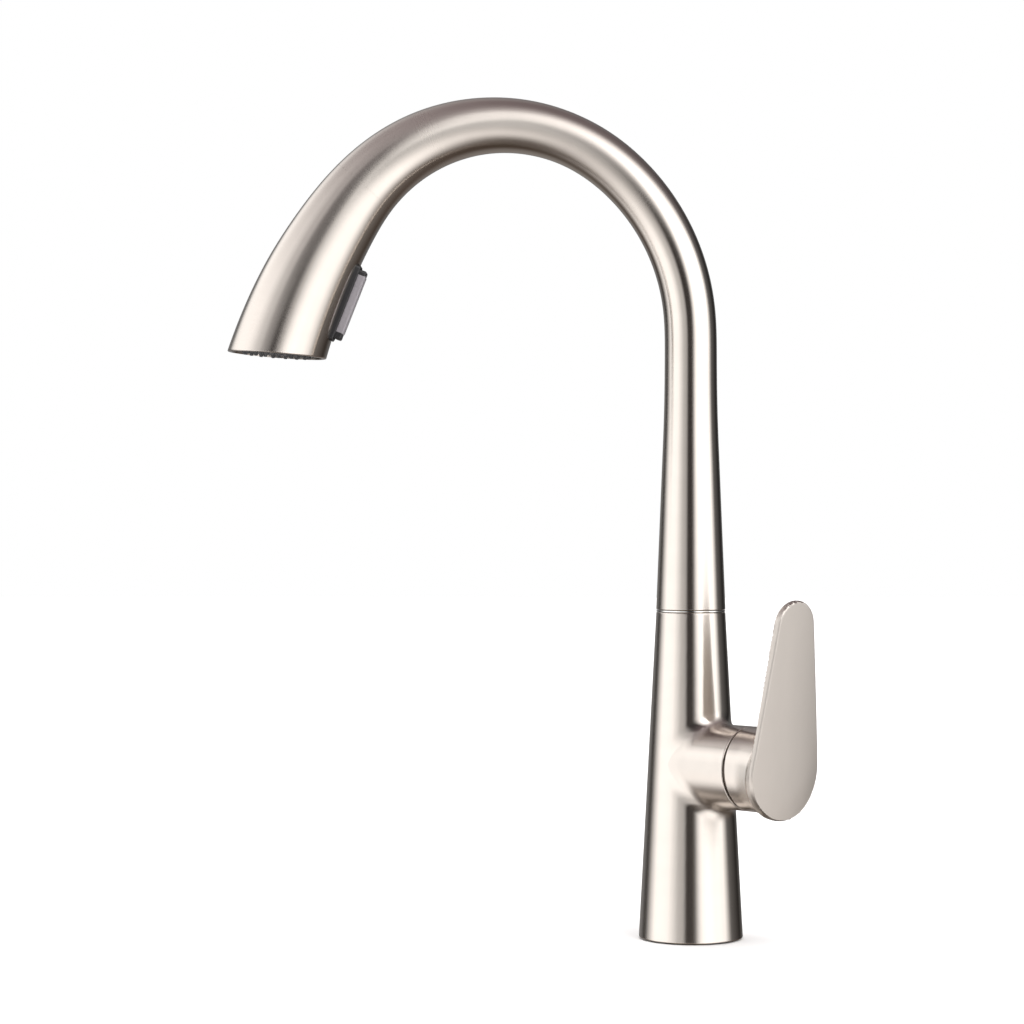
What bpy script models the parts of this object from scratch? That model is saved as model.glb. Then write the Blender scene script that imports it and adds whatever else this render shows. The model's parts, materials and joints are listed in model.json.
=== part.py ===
"""Pull down kitchen faucet: a conical body with a side lever valve, a swivelling gooseneck spout,
and a spray head on a hose. Lengths below are in millimetres, and meshes are scaled to metres.

Frame: the origin is the centre of the base on the deck, +Z runs up the column, the spout reaches along -X,
and the user stands at -Y. The lever's boss turns from the user towards +X.
"""

import math

import bmesh
import bpy
from mathutils import Matrix, Vector

MM = 0.001
GAP = 0.3  # between pieces that touch or run in each other
PAST = 5.0  # how far a cutting shape runs past what it cuts

# Column
BASE_RADIUS = 26.0
BODY_TOP_RADIUS = 17.25
BODY_BOTTOM_Z = 0.5
BODY_TOP_Z = 162.7
BODY_WALL = 2.5
FLOOR_TOP_Z = 9.3  # top of the body's solid foot
NECK_PLATE_Z = 155.0  # underside of the body's top plate
BASE_CHAMFER, TOP_CHAMFER, BOSS_CHAMFER = 0.7, 0.3, 0.9
GASKET_INNER, GASKET_OUTER, GASKET_TOP_Z = 19.0, 24.5, 1.6
DECK_THICKNESS = 30.0
SHANK_RADIUS, SHANK_BORE, SHANK_END_Z = 16.5, 14.8, -62.0
RUBBER_WASHER_RADIUS, RUBBER_WASHER_THICK = 27.0, 3.0
METAL_WASHER_RADIUS, METAL_WASHER_THICK = 28.0, 1.5
NUT_RADIUS, NUT_THICK, NUT_EDGE = 24.0, 10.0, 0.8

# Swivel between the body and the spout
SLIP_RING_Z = (163.0, 163.8)
SPOUT_BOTTOM_Z = 164.1
POST_BORE, POST_NECK, POST_HEAD = 7.0, 11.0, 13.4
POST_BOTTOM_Z, POST_TOP_Z, POST_TOP_CHAMFER = 147.0, 194.0, 1.0
INSERT_TOP_Z = 188.0
O_RING_Z = (169.1, 181.1)
O_RING_THICK, O_RING_GROOVE, O_RING_SLACK = 1.6, 12.3, 0.1
CLIP_GROOVE, CLIP_INNER, CLIP_OUTER, CLIP_THICK = 12.6, 12.9, 14.0, 1.1
LOCK_NUT_RADIUS, LOCK_NUT_BOTTOM_Z = 14.2, 149.0

# Gooseneck: a straight rise, then arcs of (radius, degrees) that end at the outlet
BEND_START_Z = 302.5
SPOUT_ARCS = ((108.4, 50.8), (87.7, 78.3), (102.3, 16.2), (275.0, 17.3))
ARC_LENGTH = sum(radius * math.radians(degrees) for radius, degrees in SPOUT_ARCS)
RISE = BEND_START_Z - SPOUT_BOTTOM_Z
# Outer radius at distances before the outlet
SPOUT_RADII = (
    (0.0, 24.1),
    (38.0, 22.2),
    (67.0, 20.0),
    (99.0, 17.4),
    (131.0, 15.6),
    (163.0, 14.1),
    (187.0, 13.4),
    (211.0, 13.0),
    (335.0, 13.0),
    (367.0, 13.35),
    (399.0, 14.55),
    (ARC_LENGTH + RISE, 17.3),
)
SPOUT_WALL = 1.5
HEAD_WALL = 2.2
HEAD_LENGTH = 95.0  # along the centreline, from the docking seam to the outlet
FACE_ANGLE = 175.6  # direction of the outlet plane's normal, from straight up
FACE_BLEND = 45.0  # length over which sections lean from square to the outlet plane

# Hose
HOSE_RADIUS = 4.2
HOSE_BOTTOM_Z = -75.0
FERRULE_BORE, FERRULE_RADIUS, FERRULE_BACK, FERRULE_FRONT = 3.0, 5.2, -28.0, -12.0
FERRULE_EDGE = 0.5
BALL_RADIUS, BALL_NECK, BALL_BORE = 6.0, 3.6, 2.2
BALL_ANGLES = (145.0, 25.0)  # where the ball's surface starts and ends, from its front
HOSE_STEP, HOSE_STRAIGHT = 14.0, 4.0
COUPLING_OUTLINE = ((0, 0), (5.4, 0), (5.4, -8), (4.4, -9), (4.4, -18), (0, -18))  # below the hose's end
DOCK_OUTLINE = ((5.7, -13.8), (13.4, -13.8), (15.3, -0.6), (12.6, -0.6), (12.6, -12.2), (5.7, -12.2))
HOSE_MERGE = (30.0, 70.0)  # behind the seam, where the hose leaves its straight end for the centreline

# Valve, measured along its axis from the column's axis
VALVE_Z = 87.0
VALVE_TURN = 43.0  # degrees from facing the user, towards +X
BOSS_RADIUS, BOSS_END, BOSS_BORE = 20.8, 40.0, 18.7
BLOCK_RADIUS, BLOCK_FACE = 16.8, 9.0
BLOCK_Z = (54.0, 108.0)
BLOCK_EDGE, BLOCK_FACE_LOW = 0.5, -19.5
HOSE_CLEARANCE = 1.6
TUBE_RADIUS, TUBE_BORE, TUBE_PITCH_RADIUS = 4.0, 3.0, 9.8
SOCKET_TOP_Z = 62.0
# Height and distance out from the pitch circle, down each tube
TUBE_ROUTE = (
    (SOCKET_TOP_Z - GAP, 0.0),
    (0.0, 0.0),
    (-64.0, 0.0),
    (-70.0, 2.0),
    (-77.0, 7.0),
    (-84.0, 10.5),
    (-90.0, 11.5),
    (-96.0, 11.5),
)
FITTING_OUTLINE = (  # from the tube's end
    (TUBE_RADIUS + GAP, 4.0),
    (6.5, 4.0),
    (6.5, 2.0),
    (8.0, 2.0),
    (8.0, -8.0),
    (6.2, -8.0),
    (6.2, -16.0),
    (3.2, -16.0),
    (3.2, -GAP),
    (TUBE_RADIUS + GAP, -GAP),
)
TUBE_TURNS = {"hot": 110.0, "cold": -10.0, "mixed": 230.0}  # degrees round +Z from the valve's axis
PORTS = {"hot": (-7.4, 4.2), "cold": (7.4, 4.2), "mixed": (0.0, -8.5)}
PORT_RADIUS = 2.6
PORT_DRILL_RADIUS, PORT_DRILL_DEPTH = 3.4, 7.8
PORT_SEAL_OUTLINE = ((1.9, 8.1), (3.1, 8.1), (3.1, 9.2), (1.9, 9.2))
# Discs of the cartridge: radius, near face, far face
CARTRIDGE_BASE = (17.2, 9.5, 13.0)
FIXED_DISC = (13.5, 13.3, 16.0)
MOVING_DISC = (11.0, 16.3, 18.6)
DISC_CARRIER = (11.0, 18.9, 21.5)
HOUSING_OUTLINE = (
    (15.2, 13.3),
    (17.5, 13.3),
    (17.5, 32.4),
    (16.9, 33.0),
    (10.8, 33.0),
    (10.8, 31.0),
    (15.2, 31.0),
)
ROTOR_OUTLINE = ((0, 21.9), (14.8, 21.9), (14.8, 30.7), (10.4, 30.7), (10.4, 35.0), (0, 35.0))
CARTRIDGE_NUT = (11.2, 18.4, 33.3, 37.3)  # bore, radius, near face, far face
STEM_SLOT_LOW, STEM_SLOT_HIGH = -9.0, 5.8
PIN_RADIUS, PIN_HOLE, PIN_HALF = 1.5, 1.8, 13.0
FINGER_RADIUS, FINGER_POCKET = 2.2, (2.6, 3.4, 19.5)  # the pocket's half width, half height and bottom
PIVOT = 25.5  # the stem's pivot
LIFT_ARM = 5.2  # from the pivot to the stem's finger tip
STEM_WIDTH, STEM_END = 7.0, 58.0
STEM_HEEL = 2.6  # from the pivot to the stem's lower face, short enough to clear the carrier as it tilts
DOME_RADIUS, DOME_OPENING = 24.0, 13.2
DOME_FOOT, DOME_FOOT_INNER, DOME_FOOT_OUTER, DOME_WALL = 37.6, 16.9, 18.4, 3.3
DOME_UNDERSIDE = 43.9  # at the opening

# Lever handle
HUB_RADIUS, HUB_RIM_BORE = 20.8, 19.6
HUB_RIM_TOP, HUB_RIM_BOTTOM = 40.5, 41.6  # the rim leans, to leave room for the lift
HUB_CAVITY_END, HUB_CAVITY_RADIUS, HUB_CAVITY_BEVEL = 50.1, 19.4, 1.4
HUB_EDGE = 0.3
# Depth, radius and drop of the hub's sections near the paddle
HUB_FLARE = ((50.0, 20.8, 0.0), (55.0, 21.3, 0.5), (58.5, 22.2, 1.4), (60.8, 22.4, 1.6))
SCREW_PLACE, SCREW_RADIUS, SCREW_HOLE, SCREW_END = 54.5, 2.0, 2.3, 13.0
PLUG_RADIUS, PLUG_HOLE, PLUG_HOLE_START, PLUG_START, PLUG_END = 2.9, 3.2, 17.5, 17.8, 20.7
PADDLE_FACE, PADDLE_THICK = 64.4, 4.0
PADDLE_LOW_RADIUS, PADDLE_TOP_RADIUS, PADDLE_RISE = 24.0, 13.0, 70.0
PADDLE_LEAN = 5.0
PADDLE_EDGE = 1.0

# Spray head's insides; outlines are of radius and place along the docking axis or the outlet's
NECK_OUTLINE = (
    (9.0, -11.5),
    (11.6, -11.5),
    (12.2, -10.5),
    (12.2, 1.0),
    (14.4, 1.0),
    (14.4, 4.0),
    (11.0, 4.0),
    (11.0, 16.0),
    (5.0, 16.0),
    (5.0, 6.3),
    (6.3, 6.3),
    (6.3, -5.0),
    (9.0, -5.0),
)
BALL_RETAINER = (4.2, 8.7, -11.2, -5.3)  # bore, radius, back, front
CAGE_OUTLINE = (
    (2.2, 6.6),
    (4.7, 6.6),
    (4.7, 15.6),
    (1.5, 15.6),
    (1.5, 14.4),
    (3.9, 14.4),
    (3.9, 7.8),
    (2.2, 7.8),
)
POPPET_OUTLINE = ((0, 8.1), (3.2, 8.1), (3.2, 9.1), (1.0, 9.5), (1.0, 14.0), (0, 14.0))
SPRING_COIL, SPRING_WIRE, SPRING_LOW, SPRING_HIGH, SPRING_TURNS = 2.0, 0.3, 9.9, 13.9, 4
WATERWAY_RADIUS, WATERWAY_BORE, WATERWAY_START = 5.6, 3.9, 16.3
ENGINE_BACK = 38.0  # before the outlet, where the rocker's middle lies
ENGINE_ANGLE = 158.5  # direction of the rocker and the diverter, from straight up
ENGINE_OFFSET = 23.7  # from the head's surface at the rocker to the diverter's axis
ENGINE_RADIUS, ENGINE_BORE, ENGINE_HALF = 11.5, 4.5, 18.0
ENGINE_EDGE = 0.6
WINDOW = ((8.0, -2.0, -4.5), (20.5, 2.0, 4.0))  # opposite corners, from the rocker's seat
SPOOL_RADIUS, SPOOL_WAIST, SPOOL_HALF, SPOOL_GROOVE_HALF, SPOOL_STOP = 4.2, 2.6, 13.0, 1.7, 1.5
ROCKER_HALF_LENGTH, ROCKER_HALF_WIDTH, ROCKER_PROUD = 18.3, 5.6, 5.0
ROCKER_PIN_DEPTH, ROCKER_PIN_RADIUS, ROCKER_PIN_HOLE, ROCKER_PIN_HALF = 0.6, 1.0, 1.3, 6.8
ROCKER_UNDERSIDE, ROCKER_BEVEL = -0.4, 0.8
# Opposite corners of the frame and its openings, from the rocker's seat
ROCKER_SLOT = ((-8.0, -7.3, -20.3), (7.0, 7.3, 20.3))
TOGGLE_FRAME = ((-1.3, -7.0, -20.0), (3.6, 7.0, 20.0))
FRAME_POCKET = ((-5.0, -6.0, -18.9), (2.8, 6.0, 18.9))
TONGUE_HOLE = ((2.0, -2.2, -3.0), (5.0, 2.2, 3.0))
LUG_TOP, LUG_BOTTOM, LUG_INSET, LUG_HALF = -2.0, 1.7, 0.6, 2.6
TONGUE_HALF_WIDTH, TONGUE_HALF_THICK, TONGUE_TIP = 1.5, 1.2, 20.8
NOZZLE_RINGS = ((11.2, 10), (16.2, 16))  # ring radius, nozzles in it
NOZZLE_RADIUS, NOZZLE_HOLE, NOZZLE_PROUD = 0.85, 1.15, 0.6
FACE_BORE = 7.2
FACE_OUTLINE = ((FACE_BORE, -6.0), (20.0, -6.0), (21.3, -1.2), (20.9, -0.8), (FACE_BORE, -0.8))
NOZZLE_MAT = (19.2, -9.0, -6.3)  # radius, back, front
MANIFOLD_OUTLINE = ((0, -15.0), (6.0, -15.0), (6.0, -12.8), (17.6, -12.8), (17.8, -9.4), (0, -9.4))
AERATOR_OUTLINE = (
    (5.4, -9.0),
    (6.8, -9.0),
    (6.8, -0.9),
    (6.4, -0.5),
    (4.6, -0.5),
    (4.6, -1.6),
    (5.4, -1.6),
)
AERATOR_INSERT = (5.1, -8.9, -2.0)  # radius, back, front

ROUND = 32  # sides of large round pieces
MIDDLE_ROUND = 24  # sides of those of middle size
SMALL_ROUND = 16  # sides of small ones
TINY_ROUND = 12  # sides of ports, pins and fittings
NOZZLE_SIDES = 6

COLOURS = {  # name: (colour, roughness, metallic)
    "brushed_nickel": ((0.68, 0.64, 0.60), 0.3, 1.0),
    "brass": ((0.72, 0.55, 0.28), 0.35, 1.0),
    "steel": ((0.62, 0.62, 0.63), 0.3, 1.0),
    "rubber": ((0.03, 0.03, 0.03), 0.7, 0.0),
    "white_plastic": ((0.8, 0.8, 0.78), 0.45, 0.0),
    "dark_plastic": ((0.05, 0.05, 0.055), 0.4, 0.0),
    "grey_plastic": ((0.32, 0.31, 0.32), 0.35, 0.2),
    "ceramic": ((0.9, 0.89, 0.86), 0.2, 0.0),
    "braid": ((0.45, 0.45, 0.46), 0.5, 0.0),
}


def clear_scene():
    for obj in list(bpy.data.objects):
        bpy.data.objects.remove(obj)


def make_material(name):
    """A Principled material with the named colour, roughness and metallic value."""
    if name in bpy.data.materials:
        return bpy.data.materials[name]
    colour, roughness, metallic = COLOURS[name]
    mat = bpy.data.materials.new(name)
    mat.use_nodes = True
    shader = mat.node_tree.nodes["Principled BSDF"]
    shader.inputs["Base Color"].default_value = (*colour, 1.0)
    shader.inputs["Roughness"].default_value = roughness
    shader.inputs["Metallic"].default_value = metallic
    return mat


# ---- Places ----


def smooth(t):
    """0 to 1 with level ends."""
    t = min(max(t, 0.0), 1.0)
    return t * t * (3 - 2 * t)


def centreline(left):
    """x, z and direction from straight up, in radians, at a distance before the outlet."""
    along = ARC_LENGTH - left
    x, z, turn = 0.0, BEND_START_Z, 0.0
    if along <= 0:
        return x, z + along, turn
    for radius, degrees in SPOUT_ARCS:
        swing = min(along / radius, math.radians(degrees))
        x += radius * (math.cos(turn + swing) - math.cos(turn))
        z += radius * (math.sin(turn + swing) - math.sin(turn))
        turn += swing
        along -= radius * swing
    return x, z, turn


def radius_slope(i):
    """Slope of the spout's radius at one of its stations, from the stations on both sides."""
    low, high = SPOUT_RADII[max(i - 1, 0)], SPOUT_RADII[min(i + 1, len(SPOUT_RADII) - 1)]
    return (high[1] - low[1]) / (high[0] - low[0])


def outer_radius(left):
    """The spout's and head's outer radius at a distance before the outlet."""
    i = 0
    while i < len(SPOUT_RADII) - 2 and left > SPOUT_RADII[i + 1][0]:
        i += 1
    (start, first), (end, last) = SPOUT_RADII[i], SPOUT_RADII[i + 1]
    span = end - start
    t = (left - start) / span
    rise = first * (1 + 2 * t) * (1 - t) ** 2 + last * t * t * (3 - 2 * t)
    return rise + span * (radius_slope(i) * t * (1 - t) ** 2 + radius_slope(i + 1) * t * t * (t - 1))


def axis_frame(x, z, turn):
    """A frame in the spout's plane: its Z runs at an angle from straight up, and its X to the outer side."""
    return Matrix.Translation((x * MM, 0, z * MM)) @ Matrix.Rotation(-turn, 4, "Y")


def point_in(frame, x, y, z):
    """A point of a frame, in millimetres in the faucet's own frame."""
    return (frame @ Vector((x * MM, y * MM, z * MM))) / MM


COLUMN = Matrix.Identity(4)
VALVE = (
    Matrix.Translation((0, 0, VALVE_Z * MM))
    @ Matrix.Rotation(math.radians(VALVE_TURN), 4, "Z")
    @ Matrix.Rotation(math.radians(90), 4, "X")
)
LIFT = VALVE @ Matrix.Translation((0, 0, PIVOT * MM))
DOCK = axis_frame(*centreline(HEAD_LENGTH))
OUTLET = axis_frame(*centreline(0)[:2], math.radians(FACE_ANGLE))


def rocker_frame():
    """On the head's inner side, on its surface, with +X into the head and +Z towards the outlet."""
    x, z, turn = centreline(ENGINE_BACK)
    reach = outer_radius(ENGINE_BACK)
    x, z = x - reach * math.cos(turn), z - reach * math.sin(turn)
    return axis_frame(x, z, math.radians(ENGINE_ANGLE))


ROCKER_SEAT = rocker_frame()
ENGINE = ROCKER_SEAT @ Matrix.Translation((ENGINE_OFFSET * MM, 0, 0))
ROCKER_PIVOT = ROCKER_SEAT @ Matrix.Translation((ROCKER_PIN_DEPTH * MM, 0, 0))


def add_empty(name, frame):
    empty = bpy.data.objects.new(name, None)
    bpy.context.scene.collection.objects.link(empty)
    empty.matrix_world = frame
    empty.empty_display_size = 0.02
    return empty


# ---- Shapes ----


def finish(name, bm, parent, colour, cutter=False):
    """Scales a millimetre mesh to metres, points its faces out, and makes its object under an empty."""
    bmesh.ops.remove_doubles(bm, verts=bm.verts, dist=1e-4)
    bmesh.ops.scale(bm, vec=(MM, MM, MM), verts=bm.verts)
    bmesh.ops.recalc_face_normals(bm, faces=bm.faces)
    mesh = bpy.data.meshes.new(name)
    bm.to_mesh(mesh)
    bm.free()
    obj = bpy.data.objects.new(name, mesh)
    bpy.context.scene.collection.objects.link(obj)
    obj.parent = parent
    if cutter:
        obj.hide_render = True
        obj.display_type = "WIRE"
        return obj
    mesh.materials.append(make_material(colour))
    mesh.shade_smooth()
    mesh.set_sharp_from_angle(angle=math.radians(35))
    return obj


def turned_mesh(outline, steps, closed):
    bm = bmesh.new()
    verts = [bm.verts.new((r, 0, z)) for r, z in outline]
    edges = [bm.edges.new(pair) for pair in zip(verts, verts[1:])]
    if closed:
        edges.append(bm.edges.new((verts[-1], verts[0])))
    geometry = verts + edges
    bmesh.ops.spin(
        bm, geom=geometry, cent=(0, 0, 0), axis=(0, 0, 1), angle=math.tau, steps=steps, use_merge=True
    )
    return bm


def turned(name, outline, parent, colour, steps=ROUND, cutter=False):
    """Turns an outline of (radius, height) round Z: from axis to axis for a solid, or a loop for a ring."""
    closed = outline[0][0] > 0
    return finish(name, turned_mesh(outline, steps, closed), parent, colour, cutter)


def rod(name, radius, low, high, parent, colour, steps=ROUND, cutter=False):
    outline = [(0, low), (radius, low), (radius, high), (0, high)]
    return turned(name, outline, parent, colour, steps, cutter)


def ring(name, inner, outer, low, high, parent, colour, steps=ROUND, edge=0.0):
    """A plain ring, with its outer edges chamfered by edge."""
    outline = [(inner, low), (outer - edge, low)]
    if edge:
        outline += [(outer, low + edge), (outer, high - edge)]
    outline += [(outer - edge, high), (inner, high)]
    return turned(name, outline, parent, colour, steps)


def o_ring(name, inner, outer, low, high, parent, colour="rubber", steps=24):
    """A ring with a round section."""
    middle, half = (inner + outer) / 2, (outer - inner) / 2
    centre, rise = (low + high) / 2, (high - low) / 2
    outline = []
    for i in range(6):
        a = math.tau * (i + 0.5) / 6
        outline.append((middle + half * math.cos(a), centre + rise * math.sin(a)))
    return turned(name, outline, parent, colour, steps)


def block(name, low, high, parent, colour, cutter=False):
    """A box between two corners."""
    bm = bmesh.new()
    bmesh.ops.create_cube(bm, size=1.0)
    low, high = Vector(low), Vector(high)
    bmesh.ops.scale(bm, vec=high - low, verts=bm.verts)
    bmesh.ops.translate(bm, vec=(low + high) / 2, verts=bm.verts)
    return finish(name, bm, parent, colour, cutter)


def cross_rod(name, radius, low, high, parent, colour, axis="X", at=(0, 0, 0), cutter=False):
    """A rod along X or Y of its frame."""
    bm = turned_mesh([(0, low), (radius, low), (radius, high), (0, high)], SMALL_ROUND, False)
    turn = Matrix.Rotation(math.radians(90), 4, "Y" if axis == "X" else "X")
    bmesh.ops.transform(bm, matrix=Matrix.Translation(at) @ turn, verts=bm.verts)
    return finish(name, bm, parent, colour, cutter)


def boolean(obj, tool, operation="DIFFERENCE"):
    modifier = obj.modifiers.new(tool.name, "BOOLEAN")
    modifier.object = tool
    modifier.operation = operation
    modifier.solver = "EXACT"


def lofted_mesh(rings):
    """Joins rings of equally many points, and closes the first and the last with a face."""
    bm = bmesh.new()
    made = [[bm.verts.new(p) for p in points] for points in rings]
    for a, b in zip(made, made[1:]):
        for i in range(len(a)):
            j = (i + 1) % len(a)
            bm.faces.new((a[i], a[j], b[j], b[i]))
    bm.faces.new(made[0][::-1])
    bm.faces.new(made[-1])
    return bm


def tube_mesh(outer, inner):
    """A tube's wall between matching outer and inner rings."""
    bm = bmesh.new()
    loops = [[bm.verts.new(p) for p in points] for points in outer + inner[::-1]]
    loops.append(loops[0])
    for a, b in zip(loops, loops[1:]):
        for i in range(len(a)):
            j = (i + 1) % len(a)
            bm.faces.new((a[i], a[j], b[j], b[i]))
    return bm


def section(left, radius, steps):
    """A ring of the spout or head, square to the centreline, leaning to the outlet plane near the outlet."""
    x, z, turn = centreline(left)
    lean = (math.radians(FACE_ANGLE) - centreline(0)[2]) * smooth(1 - left / FACE_BLEND)
    across = Vector((math.cos(turn + lean), 0, math.sin(turn + lean))) / math.cos(lean)
    middle = Vector((x, 0, z))
    points = []
    for i in range(steps):
        a = math.tau * i / steps
        points.append(middle + radius * (math.cos(a) * across + math.sin(a) * Vector((0, 1, 0))))
    return points


def local(bm, frame):
    """Moves a mesh from the faucet's frame, in millimetres, into another frame."""
    inverse = frame.inverted()
    inverse.translation /= MM
    bmesh.ops.transform(bm, matrix=inverse, verts=bm.verts)
    return bm


def stations(start, end, longest_turn, longest_step):
    """Distances before the outlet from start down to end, closer together where the centreline turns."""
    out = [start]
    while out[-1] > end + 1e-6:
        left, step = out[-1], longest_step
        while step > 2 and centreline(left - step)[2] - centreline(left)[2] > math.radians(longest_turn):
            step -= 1
        out.append(max(left - step, end))
    if len(out) > 2 and out[-2] - out[-1] < 3:
        out.pop(-2)
    return out


# ---- Body and its fixing to the deck ----


def body_radius(z):
    return BASE_RADIUS + (BODY_TOP_RADIUS - BASE_RADIUS) * z / BODY_TOP_Z


def make_body(column, valve):
    """The conical casting with its side boss, hollow inside."""
    outline = [
        (0, BODY_BOTTOM_Z),
        (BASE_RADIUS - BASE_CHAMFER, BODY_BOTTOM_Z),
        (body_radius(BODY_BOTTOM_Z + BASE_CHAMFER), BODY_BOTTOM_Z + BASE_CHAMFER),
        (body_radius(BODY_TOP_Z - TOP_CHAMFER), BODY_TOP_Z - TOP_CHAMFER),
        (BODY_TOP_RADIUS - TOP_CHAMFER, BODY_TOP_Z),
        (0, BODY_TOP_Z),
    ]
    body = turned("body_shell", outline, column, "brushed_nickel")
    boss_outline = [
        (0, 0),
        (BOSS_RADIUS, 0),
        (BOSS_RADIUS, BOSS_END - BOSS_CHAMFER),
        (BOSS_RADIUS - BOSS_CHAMFER, BOSS_END),
        (0, BOSS_END),
    ]
    boss = turned("boss_shape", boss_outline, valve, None, cutter=True)
    shank_hole = SHANK_RADIUS + GAP
    cavity_outline = [
        (0, -PAST),
        (shank_hole, -PAST),
        (shank_hole, FLOOR_TOP_Z),
        (body_radius(FLOOR_TOP_Z) - BODY_WALL, FLOOR_TOP_Z),
        (body_radius(NECK_PLATE_Z) - BODY_WALL, NECK_PLATE_Z),
        (POST_NECK + GAP, NECK_PLATE_Z),
        (POST_NECK + GAP, BODY_TOP_Z + PAST),
        (0, BODY_TOP_Z + PAST),
    ]
    cavity = turned("cavity_shape", cavity_outline, column, None, cutter=True)
    groove_outline = [
        (GASKET_INNER - GAP, -PAST),
        (GASKET_OUTER + GAP, -PAST),
        (GASKET_OUTER + GAP, GASKET_TOP_Z + GAP),
        (GASKET_INNER - GAP, GASKET_TOP_Z + GAP),
    ]
    groove = turned("groove_shape", groove_outline, column, None, cutter=True)
    bore = rod("boss_bore_shape", BOSS_BORE, PAST, BOSS_END + PAST, valve, None, cutter=True)
    boolean(body, boss, "UNION")
    for tool in (cavity, groove, bore):
        boolean(body, tool)


def make_deck_fixing(column):
    """Gasket, threaded shank, washers and nut, with the deck's thickness left between them."""
    ring("base_gasket", GASKET_INNER, GASKET_OUTER, 0, GASKET_TOP_Z, column, "rubber")
    ring("mounting_shank", SHANK_BORE, SHANK_RADIUS, SHANK_END_Z, FLOOR_TOP_Z - GAP, column, "brass")
    bore = SHANK_RADIUS + GAP
    top = -DECK_THICKNESS
    ring("rubber_washer", bore, RUBBER_WASHER_RADIUS, top - RUBBER_WASHER_THICK, top, column, "rubber")
    top -= RUBBER_WASHER_THICK + GAP
    ring("metal_washer", bore, METAL_WASHER_RADIUS, top - METAL_WASHER_THICK, top, column, "steel")
    top -= METAL_WASHER_THICK + GAP
    ring("mounting_nut", bore, NUT_RADIUS, top - NUT_THICK, top, column, "brass", edge=NUT_EDGE)


def tube_route(turn):
    """Straight down through the shank, then out to its fitting below."""
    bearing = math.radians(VALVE_TURN - 90 + turn)
    out = Vector((math.cos(bearing), math.sin(bearing), 0))
    return [out * (TUBE_PITCH_RADIUS + more) + Vector((0, 0, z)) for z, more in TUBE_ROUTE]


def ring_round(middle, direction, radius, steps):
    """A ring of points round a middle, square to a direction near vertical."""
    side = Vector((0, 1, 0)).cross(direction).normalized()
    other = direction.cross(side)
    angles = [math.tau * i / steps for i in range(steps)]
    return [middle + radius * (math.cos(a) * side + math.sin(a) * other) for a in angles]


def path_tube(name, path, outer, inner, parent, colour, steps=8, frame=COLUMN):
    """A tube of even section along a path of points."""
    rings_out, rings_in = [], []
    for i, p in enumerate(path):
        direction = (path[min(i + 1, len(path) - 1)] - path[max(i - 1, 0)]).normalized()
        rings_out.append(ring_round(p, direction, outer, steps))
        rings_in.append(ring_round(p, direction, inner, steps))
    return finish(name, local(tube_mesh(rings_out, rings_in), frame), parent, colour)


def make_water_tubes(column):
    """Hot and cold supply tubes and the mixed water tube, each with the fitting at its end."""
    for name, turn in TUBE_TURNS.items():
        route = tube_route(turn)
        path_tube(f"{name}_water_tube", route, TUBE_RADIUS, TUBE_BORE, column, "brass")
        bm = turned_mesh(FITTING_OUTLINE, TINY_ROUND, True)
        bmesh.ops.translate(bm, vec=route[-1], verts=bm.verts)
        finish(f"{name}_water_fitting", bm, column, "brass")


# ---- Valve ----


def make_valve_block(column, valve):
    """Fills the column round the hose, with sockets for the tubes and ports for the cartridge."""
    low, high = BLOCK_Z
    bore = HOSE_RADIUS + HOSE_CLEARANCE
    blk = ring("valve_block", bore, BLOCK_RADIUS, low, high, column, "brass", edge=BLOCK_EDGE)
    wide = BLOCK_RADIUS + PAST
    low_corner, high_corner = (-wide, BLOCK_FACE_LOW, BLOCK_FACE), (wide, wide, BOSS_END)
    face = block("block_face_shape", low_corner, high_corner, valve, None, cutter=True)
    boolean(blk, face)
    for name, turn in TUBE_TURNS.items():
        at = tube_route(turn)[0]
        radius, foot = TUBE_RADIUS + GAP, low - PAST
        outline = [(0, foot), (radius, foot), (radius, SOCKET_TOP_Z), (0, SOCKET_TOP_Z)]
        bm = turned_mesh(outline, TINY_ROUND, False)
        bmesh.ops.translate(bm, vec=(at.x, at.y, 0), verts=bm.verts)
        boolean(blk, finish(f"{name}_socket_shape", bm, column, None, cutter=True))
    for name, (x, y) in PORTS.items():
        start, end = PORT_DRILL_DEPTH, BLOCK_FACE + PAST
        outline = [(0, start), (PORT_DRILL_RADIUS, start), (PORT_DRILL_RADIUS, end), (0, end)]
        bm = turned_mesh(outline, TINY_ROUND, False)
        bmesh.ops.translate(bm, vec=(x, y, 0), verts=bm.verts)
        boolean(blk, finish(f"{name}_port_shape", bm, valve, None, cutter=True))


def drill_ports(obj, low, high, valve):
    """Cuts the three ports through a disc of the cartridge."""
    for name, (x, y) in PORTS.items():
        outline = [(0, low - PAST), (PORT_RADIUS, low - PAST), (PORT_RADIUS, high + PAST), (0, high + PAST)]
        bm = turned_mesh(outline, TINY_ROUND, False)
        bmesh.ops.translate(bm, vec=(x, y, 0), verts=bm.verts)
        boolean(obj, finish(f"{obj.name}_{name}_hole", bm, valve, None, cutter=True))


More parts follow.
